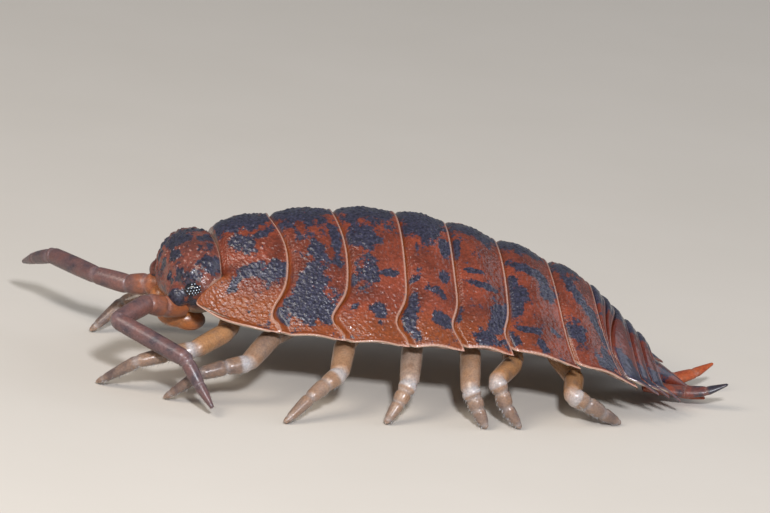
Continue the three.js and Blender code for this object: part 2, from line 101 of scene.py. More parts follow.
# Legs in the standing frame: where each comes out from under its plate, its knee, wrist and foot
LEFT_LEGS = [
    ((-6.0, -2.1, 1.78), (-7.0, -2.8, 1.4), (-8.6, -2.85, 0.98), (-9.58, -2.1)),
    ((-4.75, -2.4, 1.8), (-5.54, -3.4, 1.28), (-6.9, -3.66, 0.98), (-7.8, -3.2)),
    ((-2.65, -2.6, 1.8), (-2.96, -3.8, 1.25), (-3.85, -4.4, 0.68), (-4.59, -4.85)),
    ((-0.7, -2.6, 1.8), (-0.92, -3.8, 1.1), (-1.22, -4.1, 0.58), (-1.6, -4.38)),
    ((1.0, -2.6, 1.75), (0.86, -3.8, 1.02), (1.1, -4.05, 0.5), (1.37, -4.28)),
    ((2.3, -2.6, 1.5), (1.6, -3.7, 1.3), (1.95, -3.95, 0.6), (2.4, -4.09)),
    ((4.2, -2.3, 1.1), (3.94, -3.4, 0.89), (4.9, -3.3, 0.4), (5.54, -3.05)),
]
RIGHT_LEGS = [
    ((-6.0, 2.1, 1.75), (-7.0, 2.9, 1.4), (-8.2, 3.0, 0.9), (-9.1, 2.8)),
    ((-4.6, 2.4, 1.8), (-5.3, 3.4, 1.3), (-6.1, 3.9, 0.75), (-6.7, 4.2)),
    ((-2.6, 2.6, 1.8), (-2.9, 3.75, 1.25), (-3.3, 4.3, 0.7), (-3.6, 4.7)),
    ((-0.7, 2.6, 1.8), (-0.6, 3.85, 1.15), (-0.7, 4.4, 0.62), (-0.75, 4.8)),
    ((1.0, 2.6, 1.75), (1.2, 3.8, 1.05), (1.6, 4.3, 0.55), (1.95, 4.65)),
    ((2.5, 2.5, 1.55), (2.9, 3.55, 0.95), (3.5, 4.0, 0.48), (4.0, 4.25)),
    ((4.1, 2.2, 1.15), (4.4, 3.1, 0.8), (5.3, 3.4, 0.38), (5.95, 3.5)),
]
LEG_WIDE = (0.6, 0.64, 0.66, 0.6, 0.52, 0.44, 0.28, 0.1)  # at the joints, from hip to claw
LEG_SPINES = 70

# Hips, front to back: share of the plate's half width, and distance before the plate's margin
HIP_SHARE = 0.42
HIP_BACK = (1.0, 0.85, 0.95, 0.72, 0.72, 0.76, 0.7)

# How orange each leg's cuticle is above the knee and how dark it is below, front to back
LEG_WARM = (0.85, 0.3, 0.5, 0.05, 0.4, 0.9, 0.9)
LEG_DARK = (0.3, 0.55, 0.15, 0.05, 0.3, 0.35, 0.35)

# Feelers: joints in body coordinates, and their widths there
LEFT_FEELER = [
    (0.75, -0.95, 0.0), (0.1, -1.3, 0.02), (-0.42, -1.46, 0.15), (-1.46, -2.23, -0.16), (0.32, -3.5, -0.78),
    (0.42, -3.62, -0.88), (0.75, -4.0, -1.4), (1.1, -4.5, -1.9),
]
RIGHT_FEELER = [
    (0.75, 0.95, 0.0), (0.2, 1.3, -0.1), (-0.26, 1.68, -0.26), (-1.06, 2.35, -0.23), (-1.9, 4.13, -0.25),
    (-2.0, 4.25, -0.3), (-2.2, 5.0, -0.6), (-2.34, 5.78, -0.96),
]
FEELER_WIDE = (0.66, 0.6, 0.56, 0.5, 0.5, 0.42, 0.36, 0.12)
FEELER_BRISTLES = 420

# Tail fork in the standing frame: joints of its outer lance and inner rod, and their widths from root to tip
OUTER_TAIL = ((7.86, 0.62, 0.45), (8.45, 0.85, 0.58), (9.02, 1.0, 0.87))
INNER_TAIL = ((7.55, 0.36, 0.36), (8.05, 0.36, 0.27), (8.55, 0.38, 0.22))
OUTER_TAIL_WIDE = (0.42, 0.5, 0.4, 0.1)
INNER_TAIL_WIDE = (0.3, 0.34, 0.26, 0.1)
TAIL_BEND = 0.3  # how far the fork is set towards the left

# Gill plates: station of the first and the step to the next
GILL_START = 12.6
GILL_STEP = 0.47

# Camera fitted to the photograph: degrees, millimetres and pixels
VIEW_AZIMUTH, VIEW_ELEVATION, VIEW_ROLL = np.radians([-12.0, 16.0, 7.0])
VIEW_DISTANCE = 200.0
VIEW_TARGET = np.array([0.0, 0.0, 3.0])
PIXELS_PER_MM = 34.7
PICTURE = (770, 513)
TARGET_PIXEL = (425.0, 282.0)
SENSOR_WIDTH = 36.0
LAMP_AIM = np.array([0.0, 0.0, 2.0])
FLOOR_HALF = 0.5  # metres


def smooth(x):
    """A soft step from 0 to 1 with level ends."""
    x = np.clip(x, 0.0, 1.0)
    return x * x * (3.0 - 2.0 * x)


def mix(a, b, k):
    """The value a share k of the way from a to b."""
    return a + (b - a) * k


def pitch_at(s):
    """Slope of the body line: nearly level in front, steeper in two soft steps towards the tail."""
    rear = (PITCH_REAR - PITCH_FRONT) * smooth((s - 8) / 6.5)
    return PITCH_FRONT + rear + PITCH_TAIL * smooth((s - 13) / 3.4)


def yaw_at(s):
    """Turn of the body line, evenly from the head to the tail."""
    return mix(YAW_HEAD, YAW_TAIL, np.clip(s / 16, -0.2, 1.2))


def body_line():
    """The bent body line, as stations and points: each point is reached from the one before by a short step
    along the slope and turn at the step's middle, and the middle station is set at the ride height."""
    step = 0.01
    stations = np.arange(-5.0, 20.0, step)
    pitch = pitch_at(stations + step / 2)
    yaw = yaw_at(stations + step / 2)
    steps = np.stack([np.cos(pitch) * np.cos(yaw), np.cos(pitch) * np.sin(yaw), -np.sin(pitch)], -1) * step
    points = np.vstack([[0, 0, 0], np.cumsum(steps, 0)[:-1]])
    return stations, points - points[np.searchsorted(stations, MIDDLE_S - 1e-6)] + [0, 0, RIDE_HEIGHT]


LINE_S, LINE = body_line()


def place(s, y, z):
    """Body coordinates to the part's frame: a point on the body line, moved across it and up from it."""
    s, y, z = np.broadcast_arrays(*(np.asarray(v, float) for v in (s, y, z)))
    on_line = np.stack([np.interp(s, LINE_S, LINE[:, k]) for k in range(3)], -1)
    yaw = yaw_at(s)
    pitch = pitch_at(s)
    across = np.stack([-np.sin(yaw), np.cos(yaw), 0 * yaw], -1)
    up = np.stack([np.sin(pitch) * np.cos(yaw), np.sin(pitch) * np.sin(yaw), np.cos(pitch)], -1)
    return on_line + across * y[..., None] + up * z[..., None] - CENTRE


def stand(point):
    """A point of the standing frame, moved to the part's own frame."""
    return np.array(point, float) - CENTRE


def arch(t):
    """Cross-section of the back: 1 on the midline and 0 at the edge, with the side plates flaring out."""
    return 0.62 * (1 - np.abs(t) ** 2.2) + 0.19 * (1 + np.cos(np.pi * t))


# Stations of the body: place along it, half width and height of the back. The first two tail plates are
# narrower than the body, so they give none
STATIONS = np.array(
    [(-0.2, 1.2, 0.9), (0.8, 2.1, 1.75), (1.62, 2.35, 2.1)]
    + [p[1:4] for p in PLATES if p[0] not in ("pleonite_1", "pleonite_2")]
    + [(15.6, 1.2, 0.45), (BODY_LENGTH + 0.4, 0.8, 0.2)]
)


def half_at(s):
    """Half width of the body at a station."""
    return np.interp(s, STATIONS[:, 0], STATIONS[:, 1])


def rise_at(s):
    """Height of the back above the body line at a station."""
    return np.interp(s, STATIONS[:, 0], STATIONS[:, 2])


def margin_at(plate, y):
    """Hind margin of a plate: its midline station, bulged near half width, then dipped and swept."""
    _, rim, half, _, bulge, dip, sweep = plate
    t = np.minimum(1.1, np.abs(y) / half)
    hump = bulge * np.sin(np.pi * np.minimum(1, t)) ** 2
    return rim + hump - dip * np.exp(-(((t - 0.86) / 0.1) ** 2)) + sweep * t**SWEEP_POWER


def collar_at(y):
    """Front margin of the first plate: level across the head, then forward beside the eyes."""
    y = np.abs(y)
    return HEAD_RIM + 0.06 * np.minimum(1, y) - 0.85 * smooth((y - 1.6) / 0.55)


def studs(a, b, pitch, radius, seed):
    """Rounded studs, one in each cell of a jittered lattice: each is a dome that falls off with the square
    of the distance from its own middle, and some are left out."""
    i = np.floor(a / pitch).astype(int)
    j = np.floor(b / pitch).astype(int)
    table = np.random.default_rng(seed).random((64, 64, 3))
    height = np.zeros(a.shape)
    for di in (-1, 0, 1):
        for dj in (-1, 0, 1):
            da, db, size = np.moveaxis(table[(i + di) % 64, (j + dj) % 64], -1, 0)
            off_a = a / pitch - i - di - 0.1 - 0.8 * da
            off_b = b / pitch - j - dj - 0.1 - 0.8 * db
            far = np.hypot(off_a, off_b) * pitch
            dome = np.clip(1 - (far / (radius * (0.55 + 0.45 * size))) ** 2, 0, 1)
            height = np.maximum(height, dome * (0.4 + 0.6 * size) * (size > 0.2))
    return height


class Shape:
    """Gathers closed grids, their faces and their painted values, and turns them into one object."""

    PAINT = ("dark", "pale", "band", "warm", "under")

    def __init__(self):
        self.points = []
        self.faces = {3: [], 4: []}
        self.paint = {name: [] for name in self.PAINT}
        self.count = 0

    def add(self, points, quads, tris, **paint):
        """Adds one closed body; its faces are turned outwards by the sign of the volume they enclose."""
        flat = points.reshape(-1, 3)
        halves = np.vstack([quads[:, :3], quads[:, [0, 2, 3]], tris])
        a, b, c = (flat[halves[:, k]] - flat.mean(0) for k in range(3))
        if np.einsum("ij,ij->", a, np.cross(b, c)) < 0:
            quads = quads[:, ::-1]
            tris = tris[:, ::-1]
        self.points.append(flat)
        self.faces[4].append(quads + self.count)
        self.faces[3].append(tris + self.count)
        for name in self.PAINT:
            self.paint[name].append(np.broadcast_to(paint.get(name, 0.0), points.shape[:-1]).reshape(-1))
        self.count += len(flat)

    def build(self, name, material, nodes):
        """Makes the mesh object, paints it, and lets it ride on the root in place of its nodes."""
        points = np.vstack(self.points) * MM
        quads = np.vstack(self.faces[4])
        tris = np.vstack(self.faces[3])
        mesh = bpy.data.meshes.new(name)
        mesh.vertices.add(len(points))
        mesh.vertices.foreach_set("co", points.ravel())
        mesh.loops.add(quads.size + tris.size)
        corners = np.concatenate([quads.ravel(), tris.ravel()])
        mesh.loops.foreach_set("vertex_index", corners.astype(np.int32))
        mesh.polygons.add(len(quads) + len(tris))
        starts = np.concatenate([np.arange(len(quads)) * 4, quads.size + np.arange(len(tris)) * 3])
        mesh.polygons.foreach_set("loop_start", starts.astype(np.int32))
        mesh.polygons.foreach_set("use_smooth", np.ones(len(starts), bool))
        mesh.update(calc_edges=True)
        for paint, values in self.paint.items():
            layer = mesh.attributes.new(paint, "FLOAT", "POINT")
            layer.data.foreach_set("value", np.concatenate(values).astype(np.float32))
        mesh.validate()
        obj = bpy.data.objects.new(name, mesh)
        bpy.context.scene.collection.objects.link(obj)
        mesh.materials.append(material)
        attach(obj, "root")
        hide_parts(*nodes)


def grid_quads(rows, cols):
    """Four-cornered faces of a grid of points whose rows are closed rings."""
    i = np.arange(rows - 1)[:, None]
    j = np.arange(cols)[None, :]
    next_i = i + 1
    next_j = (j + 1) % cols
    corners = [i * cols + j, next_i * cols + j, next_i * cols + next_j, i * cols + next_j]
    return np.stack(corners, -1).reshape(-1, 4)


def fans(rows, cols):
    """Triangles that close the first and last row of a grid round two more points at its end."""
    k = np.arange(cols)
    ahead = (k + 1) % cols
    last = (rows - 1) * cols
    first_fan = np.stack([np.full(cols, rows * cols), ahead, k], -1)
    last_fan = np.stack([np.full(cols, rows * cols + 1), last + k, last + ahead], -1)
    return np.vstack([first_fan, last_fan])


def add_rings(shape, points, **paint):
    """Adds rows of closed rings as one body, each end closed by a fan round its own middle."""
    rows, cols = points.shape[:2]
    flat = points.reshape(-1, 3)
    poles = [flat[:cols].mean(0), flat[-cols:].mean(0)]
    values = {}
    for key, value in paint.items():
        whole = np.broadcast_to(value, (rows, cols)).ravel()
        values[key] = np.concatenate([whole, whole[:1], whole[-1:]])
    shape.add(np.vstack([flat, poles]), grid_quads(rows, cols), fans(rows, cols), **values)


def tube(shape, centres, side, up, wide, tall, sides, **paint):
    """A closed tube: an ellipse at each station, wide along side and tall along up."""
    angle = 2 * np.pi * np.arange(sides) / sides
    ring = (np.cos(angle)[None, :, None] * side[:, None] * wide[:, None, None] / 2
            + np.sin(angle)[None, :, None] * up[:, None] * tall[:, None, None] / 2)
    values = {key: np.broadcast_to(value, len(centres))[:, None] for key, value in paint.items()}
    add_rings(shape, centres[:, None] + ring, **values)


def soft_path(joints, count, soft):
    """A path through joints with its bends rounded, by a running mean. Returns evenly spaced points, how far
    along each lies, and how far along each joint lies."""
    joints = np.array(joints, float)
    run = np.concatenate([[0], np.cumsum(np.linalg.norm(np.diff(joints, axis=0), axis=1))])
    samples = 2000
    fine = np.linspace(0, run[-1], samples)
    points = np.stack([np.interp(fine, run, joints[:, k]) for k in range(3)], -1)
    reach = max(1, int(soft / run[-1] * samples))
    window = np.hanning(2 * reach + 1)
    window = window / window.sum()
    before = 2 * points[0] - points[reach:0:-1]
    after = 2 * points[-1] - points[-2:-reach - 2:-1]
    padded = np.vstack([before, points, after])
    points = np.stack([np.convolve(padded[:, k], window, "valid") for k in range(3)], -1)
    at = np.linspace(0, run[-1], count)
    return np.stack([np.interp(at, fine, points[:, k]) for k in range(3)], -1), at, run


def carried(centres, start_side):
    """Side and up directions carried along a path without twist."""
    ahead = np.gradient(centres, axis=0)
    ahead /= np.linalg.norm(ahead, axis=1)[:, None]
    sides = np.empty_like(ahead)
    side = np.array(start_side, float)
    for k, direction in enumerate(ahead):
        side = side - direction * (side @ direction)
        side /= np.linalg.norm(side)
        sides[k] = side
    return sides, np.cross(ahead, sides), ahead


def spines(shape, roots, directions, lengths, radius, **paint):
    """Short bristles: each a slim cone of four sides from its root to its tip, all made in one array."""
    n = len(roots)
    directions = directions / np.linalg.norm(directions, axis=1)[:, None]
    across = np.cross(directions, [0.3, 0.5, 0.81])
    across /= np.linalg.norm(across, axis=1)[:, None]
    other = np.cross(directions, across)
    angle = np.pi / 2 * np.arange(4)
    ring = across[:, None] * np.cos(angle)[None, :, None] + other[:, None] * np.sin(angle)[None, :, None]
    base = roots[:, None] + ring * radius
    tip = roots + directions * np.reshape(lengths, (-1, 1))
    points = np.concatenate([base, tip[:, None], roots[:, None]], 1)
    k = np.arange(4)
    sides = np.stack([k, (k + 1) % 4, np.full(4, 4)], -1)
    foot = np.stack([(k + 1) % 4, k, np.full(4, 5)], -1)
    fan = np.vstack([sides, foot])
    tris = (fan[None] + np.arange(n)[:, None, None] * 6).reshape(-1, 3)
    shape.add(points.reshape(-1, 3), np.zeros((0, 4), int), tris, **paint)


def linear(hexcode):
    """A colour written as sRGB hex, turned into linear values."""
    rgb = np.array([int(hexcode[i:i + 2], 16) for i in (0, 2, 4)]) / 255
    return (*np.where(rgb <= 0.04045, rgb / 12.92, ((rgb + 0.055) / 1.055) ** 2.4), 1.0)


def per_mm(size):
    """Pattern scale that repeats a feature every so many millimetres, in metres of object space."""
    return 1.0 / (size * MM)


def node(tree, kind, inputs, settings=None, out=0):
    """Adds a shader node, applies its settings, joins or fills its inputs, and gives one output."""
    made = tree.nodes.new("ShaderNode" + kind)
    for key, value in (settings or {}).items():
        setattr(made, key, value)
    for key, value in inputs.items():
        if isinstance(value, bpy.types.NodeSocket):
            tree.links.new(value, made.inputs[key])
        else:
            made.inputs[key].default_value = value
    return None if out is None else made.outputs[out]


def start(name):
    """A new material with an empty node tree, and its object coordinates."""
    material = bpy.data.materials.new(name)
    material.use_nodes = True
    tree = material.node_tree
    tree.nodes.clear()
    return material, tree, node(tree, "TexCoord", {}, out="Object")


# Settings of the nodes, and the number of the output that gives a Mix node's colour
RGBA = {"data_type": "RGBA"}
MULTIPLY = {"data_type": "RGBA", "blend_type": "MULTIPLY"}
SUM = {"operation": "ADD"}
SCALE_AND_SHIFT = {"operation": "MULTIPLY_ADD"}
SOFT_STEP = {"interpolation_type": "SMOOTHSTEP"}
COLOUR = 2

# Pattern sizes in millimetres: clouds of colour, ragged blotch edges, fine specks, glossy granules, and the
# clouds and specks of the limbs
CLOUD = 0.9
RAGGED_EDGE = 0.42
SPECK = 0.08
GRANULE = 0.07
LIMB_CLOUD = 0.35
LIMB_SPECK = 0.06
BELLY_COLOUR = "A08E7C"


def cuticle(name, base, warm, dark, pale, band, relief=0.6):
    """Shell cuticle, hard and waxed over fine granules that break its gloss into sparkles: a mottled base
    that turns warm on the side plates, ragged slate blotches, painted shade under the hind lips, pale rims
    and a smooth front band."""
    material, tree, where = start(name)
    marks = {key: node(tree, "Attribute", {}, {"attribute_name": key}, "Fac") for key in Shape.PAINT}
    coarse = {"Vector": where, "Scale": per_mm(RAGGED_EDGE), "Detail": 6.0, "Roughness": 0.74}
    ragged = node(tree, "TexNoise", coarse)
    cloud = node(tree, "TexNoise", {"Vector": where, "Scale": per_mm(CLOUD), "Detail": 4.0})
    speck = node(tree, "TexNoise", {"Vector": where, "Scale": per_mm(SPECK)})
    grains = node(tree, "TexVoronoi", {"Vector": where, "Scale": per_mm(GRANULE), "Randomness": 1.0})

    # Ground colour
    mottle = node(tree, "MapRange", {0: cloud, 1: 0.35, 2: 0.65})
    tone = node(tree, "Mix", {0: mottle, 6: linear(base[0]), 7: linear(base[1])}, RGBA, COLOUR)
    tone = node(tree, "Mix", {0: marks["warm"], 6: tone, 7: linear(warm)}, RGBA, COLOUR)
    shade = node(tree, "MapRange", {0: speck, 1: 0.3, 2: 0.7, 3: 0.7, 4: 1.2})
    tone = node(tree, "Mix", {0: 1.0, 6: tone, 7: shade}, MULTIPLY, COLOUR)

    # Slate blotches, and the painted shade under each plate's hind lip, whose edge wanders with the coarse
    # noise
    wander = node(tree, "Math", {0: ragged, 1: 3.4, 2: -1.7}, SCALE_AND_SHIFT)
    field = node(tree, "Math", {0: marks["dark"], 1: wander}, SUM)
    inside = node(tree, "MapRange", {0: field, 1: 0.38, 2: 0.62}, SOFT_STEP)
    cast = node(tree, "MapRange", {0: speck, 1: 0.35, 2: 0.7})
    slate = node(tree, "Mix", {0: cast, 6: linear(dark[0]), 7: linear(dark[1])}, RGBA, COLOUR)
    tone = node(tree, "Mix", {0: inside, 6: tone, 7: slate}, RGBA, COLOUR)
    for key, colour in (("band", band), ("pale", pale), ("under", BELLY_COLOUR)):
        tone = node(tree, "Mix", {0: marks[key], 6: tone, 7: linear(colour)}, RGBA, COLOUR)

    # Relief, nearly flat on the smooth band
    strength = node(tree, "Math", {0: marks["band"], 1: -0.85 * relief, 2: relief}, SCALE_AND_SHIFT)
    dome = node(tree, "Math", {0: grains, 1: -1.0, 2: 1.0}, SCALE_AND_SHIFT)
    height = node(tree, "Math", {0: speck, 1: 0.6, 2: dome}, SCALE_AND_SHIFT)
    bump = node(tree, "Bump", {"Strength": strength, "Distance": 0.022 * MM, "Height": height})
    gloss = node(tree, "MapRange", {0: ragged, 1: 0.3, 2: 0.7, 3: 0.25, 4: 0.45})
    shader = node(tree, "BsdfPrincipled", {
        "Base Color": tone, "Roughness": gloss, "Normal": bump, "IOR": 1.45, "Coat Weight": 0.4,
        "Coat Roughness": 0.13, "Subsurface Weight": 0.06, "Subsurface Scale": 0.12 * MM,
        "Subsurface Radius": (1.0, 0.45, 0.25),
    })
    node(tree, "OutputMaterial", {"Surface": shader}, out=None)
    return material


def horn(name, base, warm, dark, pale, gloss, soft, relief=0.5):
    """Thin cuticle of limbs, softly see-through so that light spreads in it: clouded colour, dark stains,
    pale joint skins and fine relief."""
    material, tree, where = start(name)
    keys = ("dark", "pale", "warm")
    marks = {key: node(tree, "Attribute", {}, {"attribute_name": key}, "Fac") for key in keys}
    cloud = node(tree, "TexNoise", {"Vector": where, "Scale": per_mm(LIMB_CLOUD), "Detail": 4.0})
    speck = node(tree, "TexNoise", {"Vector": where, "Scale": per_mm(LIMB_SPECK)})
    mottle = node(tree, "MapRange", {0: cloud, 1: 0.35, 2: 0.65})
    tone = node(tree, "Mix", {0: mottle, 6: linear(base[0]), 7: linear(base[1])}, RGBA, COLOUR)
    tone = node(tree, "Mix", {0: marks["warm"], 6: tone, 7: linear(warm)}, RGBA, COLOUR)
    wander = node(tree, "Math", {0: cloud, 1: 1.6, 2: -0.8}, SCALE_AND_SHIFT)
    field = node(tree, "Math", {0: marks["dark"], 1: wander}, SUM)
    stain = node(tree, "MapRange", {0: field, 1: 0.1, 2: 0.9})
    tone = node(tree, "Mix", {0: stain, 6: tone, 7: linear(dark)}, RGBA, COLOUR)
    tone = node(tree, "Mix", {0: marks["pale"], 6: tone, 7: linear(pale)}, RGBA, COLOUR)
    shade = node(tree, "MapRange", {0: speck, 1: 0.3, 2: 0.7, 3: 0.76, 4: 1.14})
    tone = node(tree, "Mix", {0: 1.0, 6: tone, 7: shade}, MULTIPLY, COLOUR)
    bump = node(tree, "Bump", {"Strength": relief, "Distance": 0.014 * MM, "Height": speck})
    shader = node(tree, "BsdfPrincipled", {
        "Base Color": tone, "Roughness": gloss, "Normal": bump, "Coat Weight": 0.2, "Coat Roughness": 0.25,
        "Subsurface Weight": soft, "Subsurface Scale": 0.25 * MM, "Subsurface Radius": (1.0, 0.7, 0.5),
    })
    node(tree, "OutputMaterial", {"Surface": shader}, out=None)
    return material


def eye_lens():
    """Lenses of the eye, black and as clear as glass: a sharp gloss, with a bluish painted highlight on each
    lens.
    """
    material, tree, where = start("black_eye_lens")
    cloud = node(tree, "TexNoise", {"Vector": where, "Scale": per_mm(SPECK)})
    tone = node(tree, "Mix", {0: cloud, 6: linear("06070A"), 7: linear("14161E")}, RGBA, COLOUR)
    # Painted highlight: the bluish dot painted near the top of each lens
    painted_glint = node(tree, "Attribute", {}, {"attribute_name": "pale"}, "Fac")
    tone = node(tree, "Mix", {0: painted_glint, 6: tone, 7: linear("C4D0E0")}, RGBA, COLOUR)
    shader = node(tree, "BsdfPrincipled", {
        "Base Color": tone, "Roughness": 0.14, "Coat Weight": 1.0, "Coat Roughness": 0.06,
    })
    node(tree, "OutputMaterial", {"Surface": shader}, out=None)
    return material


def floor_paint():
    """Matt pale paint: an even, soft ground with a barely visible tooth."""
    material, tree, where = start("pale_matt_paint")
    cloud = node(tree, "TexNoise", {"Vector": where, "Scale": per_mm(6.0), "Detail": 3.0})
    tone = node(tree, "Mix", {0: cloud, 6: linear("CFC8BD"), 7: linear("D5CEC4")}, RGBA, COLOUR)
    tooth = node(tree, "TexNoise", {"Vector": where, "Scale": per_mm(0.12)})
    bump = node(tree, "Bump", {"Strength": 0.15, "Distance": 0.01 * MM, "Height": tooth})
    shader = node(tree, "BsdfPrincipled", {"Base Color": tone, "Roughness": 0.75, "Normal": bump})
    node(tree, "OutputMaterial", {"Surface": shader}, out=None)
    return material


# Blotches on each plate: station from 0 front to 1 rim, place from 0 midline to 1 edge, half length along
# the body and half width across it in millimetres, and turn in degrees
BLOTCHES = {
    "pereonite_1": [
        (0.5, 0.0, 0.95, 0.8, 0), (0.34, 0.37, 0.42, 0.36, 15), (0.85, 0.6, 0.3, 0.35, 0),
        (0.45, 0.61, 0.45, 0.18, 35), (0.3, 0.72, 0.25, 0.09, -10), (0.3, 0.7, 0.12, 0.3, 0),
        (0.68, 0.3, 0.35, 0.12, 30),
    ],
    "pereonite_2": [
        (0.5, 0.0, 1.1, 1.0, 0), (0.45, 0.72, 0.5, 1.1, 0), (0.85, 0.36, 0.17, 1.0, 0),
        (0.8, 0.8, 0.4, 0.5, 0), (0.5, 0.45, 0.26, 0.4, 20), (0.12, 0.86, 0.2, 0.3, 0),
    ],
    "pereonite_3": [
        (0.5, 0.0, 1.0, 0.9, 0), (0.32, 0.32, 0.5, 0.5, 0), (0.34, 0.57, 0.34, 0.5, 0),
        (0.72, 0.58, 0.35, 0.11, 5), (0.67, 0.8, 0.4, 0.17, -20), (0.3, 0.78, 0.12, 0.12, 0),
        (0.1, 0.62, 0.1, 0.2, 0),
    ],
    "pereonite_4": [
        (0.5, 0.0, 1.0, 1.25, 0), (0.85, 0.34, 0.2, 0.4, 0), (0.2, 0.82, 0.2, 0.75, 0),
        (0.8, 0.56, 0.16, 0.2, 0), (0.15, 0.6, 0.25, 0.13, 20), (0.6, 0.67, 0.35, 0.16, -20),
        (0.78, 0.84, 0.25, 0.22, 0),
    ],
    "pereonite_5": [
        (0.5, 0.0, 0.9, 0.62, 0), (0.1, 0.32, 0.14, 0.45, 0), (0.4, 0.49, 0.28, 0.08, 0),
        (0.5, 0.58, 0.6, 0.1, -5), (0.83, 0.78, 0.28, 0.7, 0), (0.6, 0.94, 0.6, 0.25, 0),
        (0.05, 0.8, 0.14, 0.26, 0),
    ],
    "pereonite_6": [
        (0.5, 0.0, 0.7, 0.55, 0), (0.5, 0.33, 0.66, 0.2, -10), (0.15, 0.58, 0.3, 0.7, 0),
        (0.82, 0.48, 0.24, 0.4, 0), (0.34, 0.84, 0.3, 0.12, 0), (0.8, 0.78, 0.16, 0.12, 0),
        (0.5, 0.95, 0.1, 0.3, 0), (0.05, 0.93, 0.2, 0.28, 0),
    ],
    "pereonite_7": [
        (0.4, 0.0, 0.5, 0.5, 0), (0.22, 0.72, 0.3, 0.34, 0), (0.72, 0.5, 1.1, 0.24, -62),
        (0.8, 0.82, 0.24, 0.5, -20), (0.55, 0.9, 0.16, 0.3, -10), (0.9, 0.92, 0.3, 0.2, -30),
    ],
}
UNMARKED = 0.08  # how dark the ground between blotches counts, which leaves a few small specks there


def faded(far):
    """Darkness of a blotch: full in its middle, and falling off past about half its radius."""
    return np.clip(1.4 - 0.9 * far, 0, 1)


def marked(index, u, t):
    """How dark a plate is: the strongest of its blotches, each an ellipse laid on the arched back. The
    width is measured along the arch, by the arch's slope at the blotch."""
    name, rim, half, rise = PLATES[index][:4]
    length = rim - (HEAD_RIM if index == 0 else PLATES[index - 1][1])
    dark = np.full(np.broadcast(u, t).shape, UNMARKED)
    for middle_u, middle_t, along, across, turn in BLOTCHES[name]:
        a = np.radians(turn)
        slope = (arch(middle_t + 0.01) - arch(middle_t - 0.01)) / 0.02 * rise / half
        du = (u - middle_u) * length
        dt = (np.abs(t) - middle_t) * half * np.hypot(1, slope)
        ahead = (du * np.cos(a) - dt * np.sin(a)) / along
        aside = (dt * np.cos(a) + du * np.sin(a)) / across
        dark = np.maximum(dark, faded(np.hypot(ahead, aside)))
    return dark


def tail_marks(past, t):
    """The tail plates' pattern: a dark middle, a red strip and blue-grey side points."""
    middle = 0.95 * (1 - smooth((np.abs(t) - 0.12) / 0.2))
    points = 0.9 * smooth((np.abs(t) - 0.66) / 0.15)
    return np.clip(middle + points + 0.22 + 0 * past, 0, 1)


def rim_at(index, y):
    """Hind margin of a plate by number. The first two tail plates run along the seventh trunk plate's
    margin and narrow towards its corners."""
    if index not in NARROWING:
        return margin_at(PLATES[index], y)
    cover = margin_at(PLATES[LAST_TRUNK], y)
    ahead = PLATES[index][1] - PLATES[LAST_TRUNK][1]
    return cover + mix(ahead, NARROWING[index], smooth(np.abs(y) / 2.5))


def plate_plan(index, t, u):
    """Where a plate's points lie seen from above, at shares u from its front to its rim: station, place
    across, and the station of the margin of the plate before."""
    half = NARROWING_HALF if index in NARROWING else PLATES[index][2]
    if index == 0:
        y = t * mix(FIRST_FRONT_HALF, half, np.sin(np.clip(u, 0, 1) * np.pi / 2) ** 0.9)
        fore = collar_at(y)
        return mix(fore, rim_at(index, y), u), y, fore
    front_half = mix(min(PLATES[index - 1][2], half), half, 0.35)
    y = t * mix(front_half, half, smooth(u * 1.5))
    fore = rim_at(index - 1, y)
    if index > LAST_TRUNK + 1:
        fore = np.maximum(fore, rim_at(LAST_TRUNK, y))
    return mix(fore - OVERLAP, rim_at(index, y), u), y, fore


def plate_surface(index, t, u):
    """Outer face of a plate: the arched back, a little swollen between its margins, and tucked inwards in
    front, where the plate before lies over it. The first plate has no plate before it, and its front
    corners are lifted beside the head. Returns station, across, height, and the share past the margin of
    the plate before."""
    small = index > LAST_TRUNK
    s, y, fore = plate_plan(index, t, u)
    past = np.clip((s - fore) / np.maximum(rim_at(index, y) - fore, 0.05), 0, 1)
    z = rise_at(s) * arch(np.minimum(1, np.abs(y) / np.maximum(half_at(s), np.abs(y)))) + EDGE_RISE
    z = z + SWELL * np.sin(np.pi * past) ** 2 * (0.5 if small else 1)
    if index == 0:
        z = z - 0.1 * (1 - smooth(u / 0.1)) * (1 - smooth((np.abs(t) - 0.7) / 0.1))
        z = z + CORNER_LIFT * np.clip(1 - u / 0.6, 0, 1) ** 2 * smooth((np.abs(y) - 1.3) / 0.7)
        return s, y, z, past
    tuck = TUCK * (1 - smooth((s - fore) / (0.14 if small else 0.24)))
    outer = smooth((np.abs(t) - 0.6) / 0.35)
    return s, y - np.sign(t) * tuck * outer, z - tuck * (1 - outer), past


def granules(index, s, across):
    """Relief of the back: coarse studs, lower towards the tail, with finer ones between them."""
    pitch, radius, height = COARSE_STUDS
    coarse = studs(s, across, pitch, radius, 3 + index) * (height - STUDS_LOWER * index)
    pitch, radius, height = FINE_STUDS
    return coarse + studs(s, across, pitch, radius, 23 + index) * height


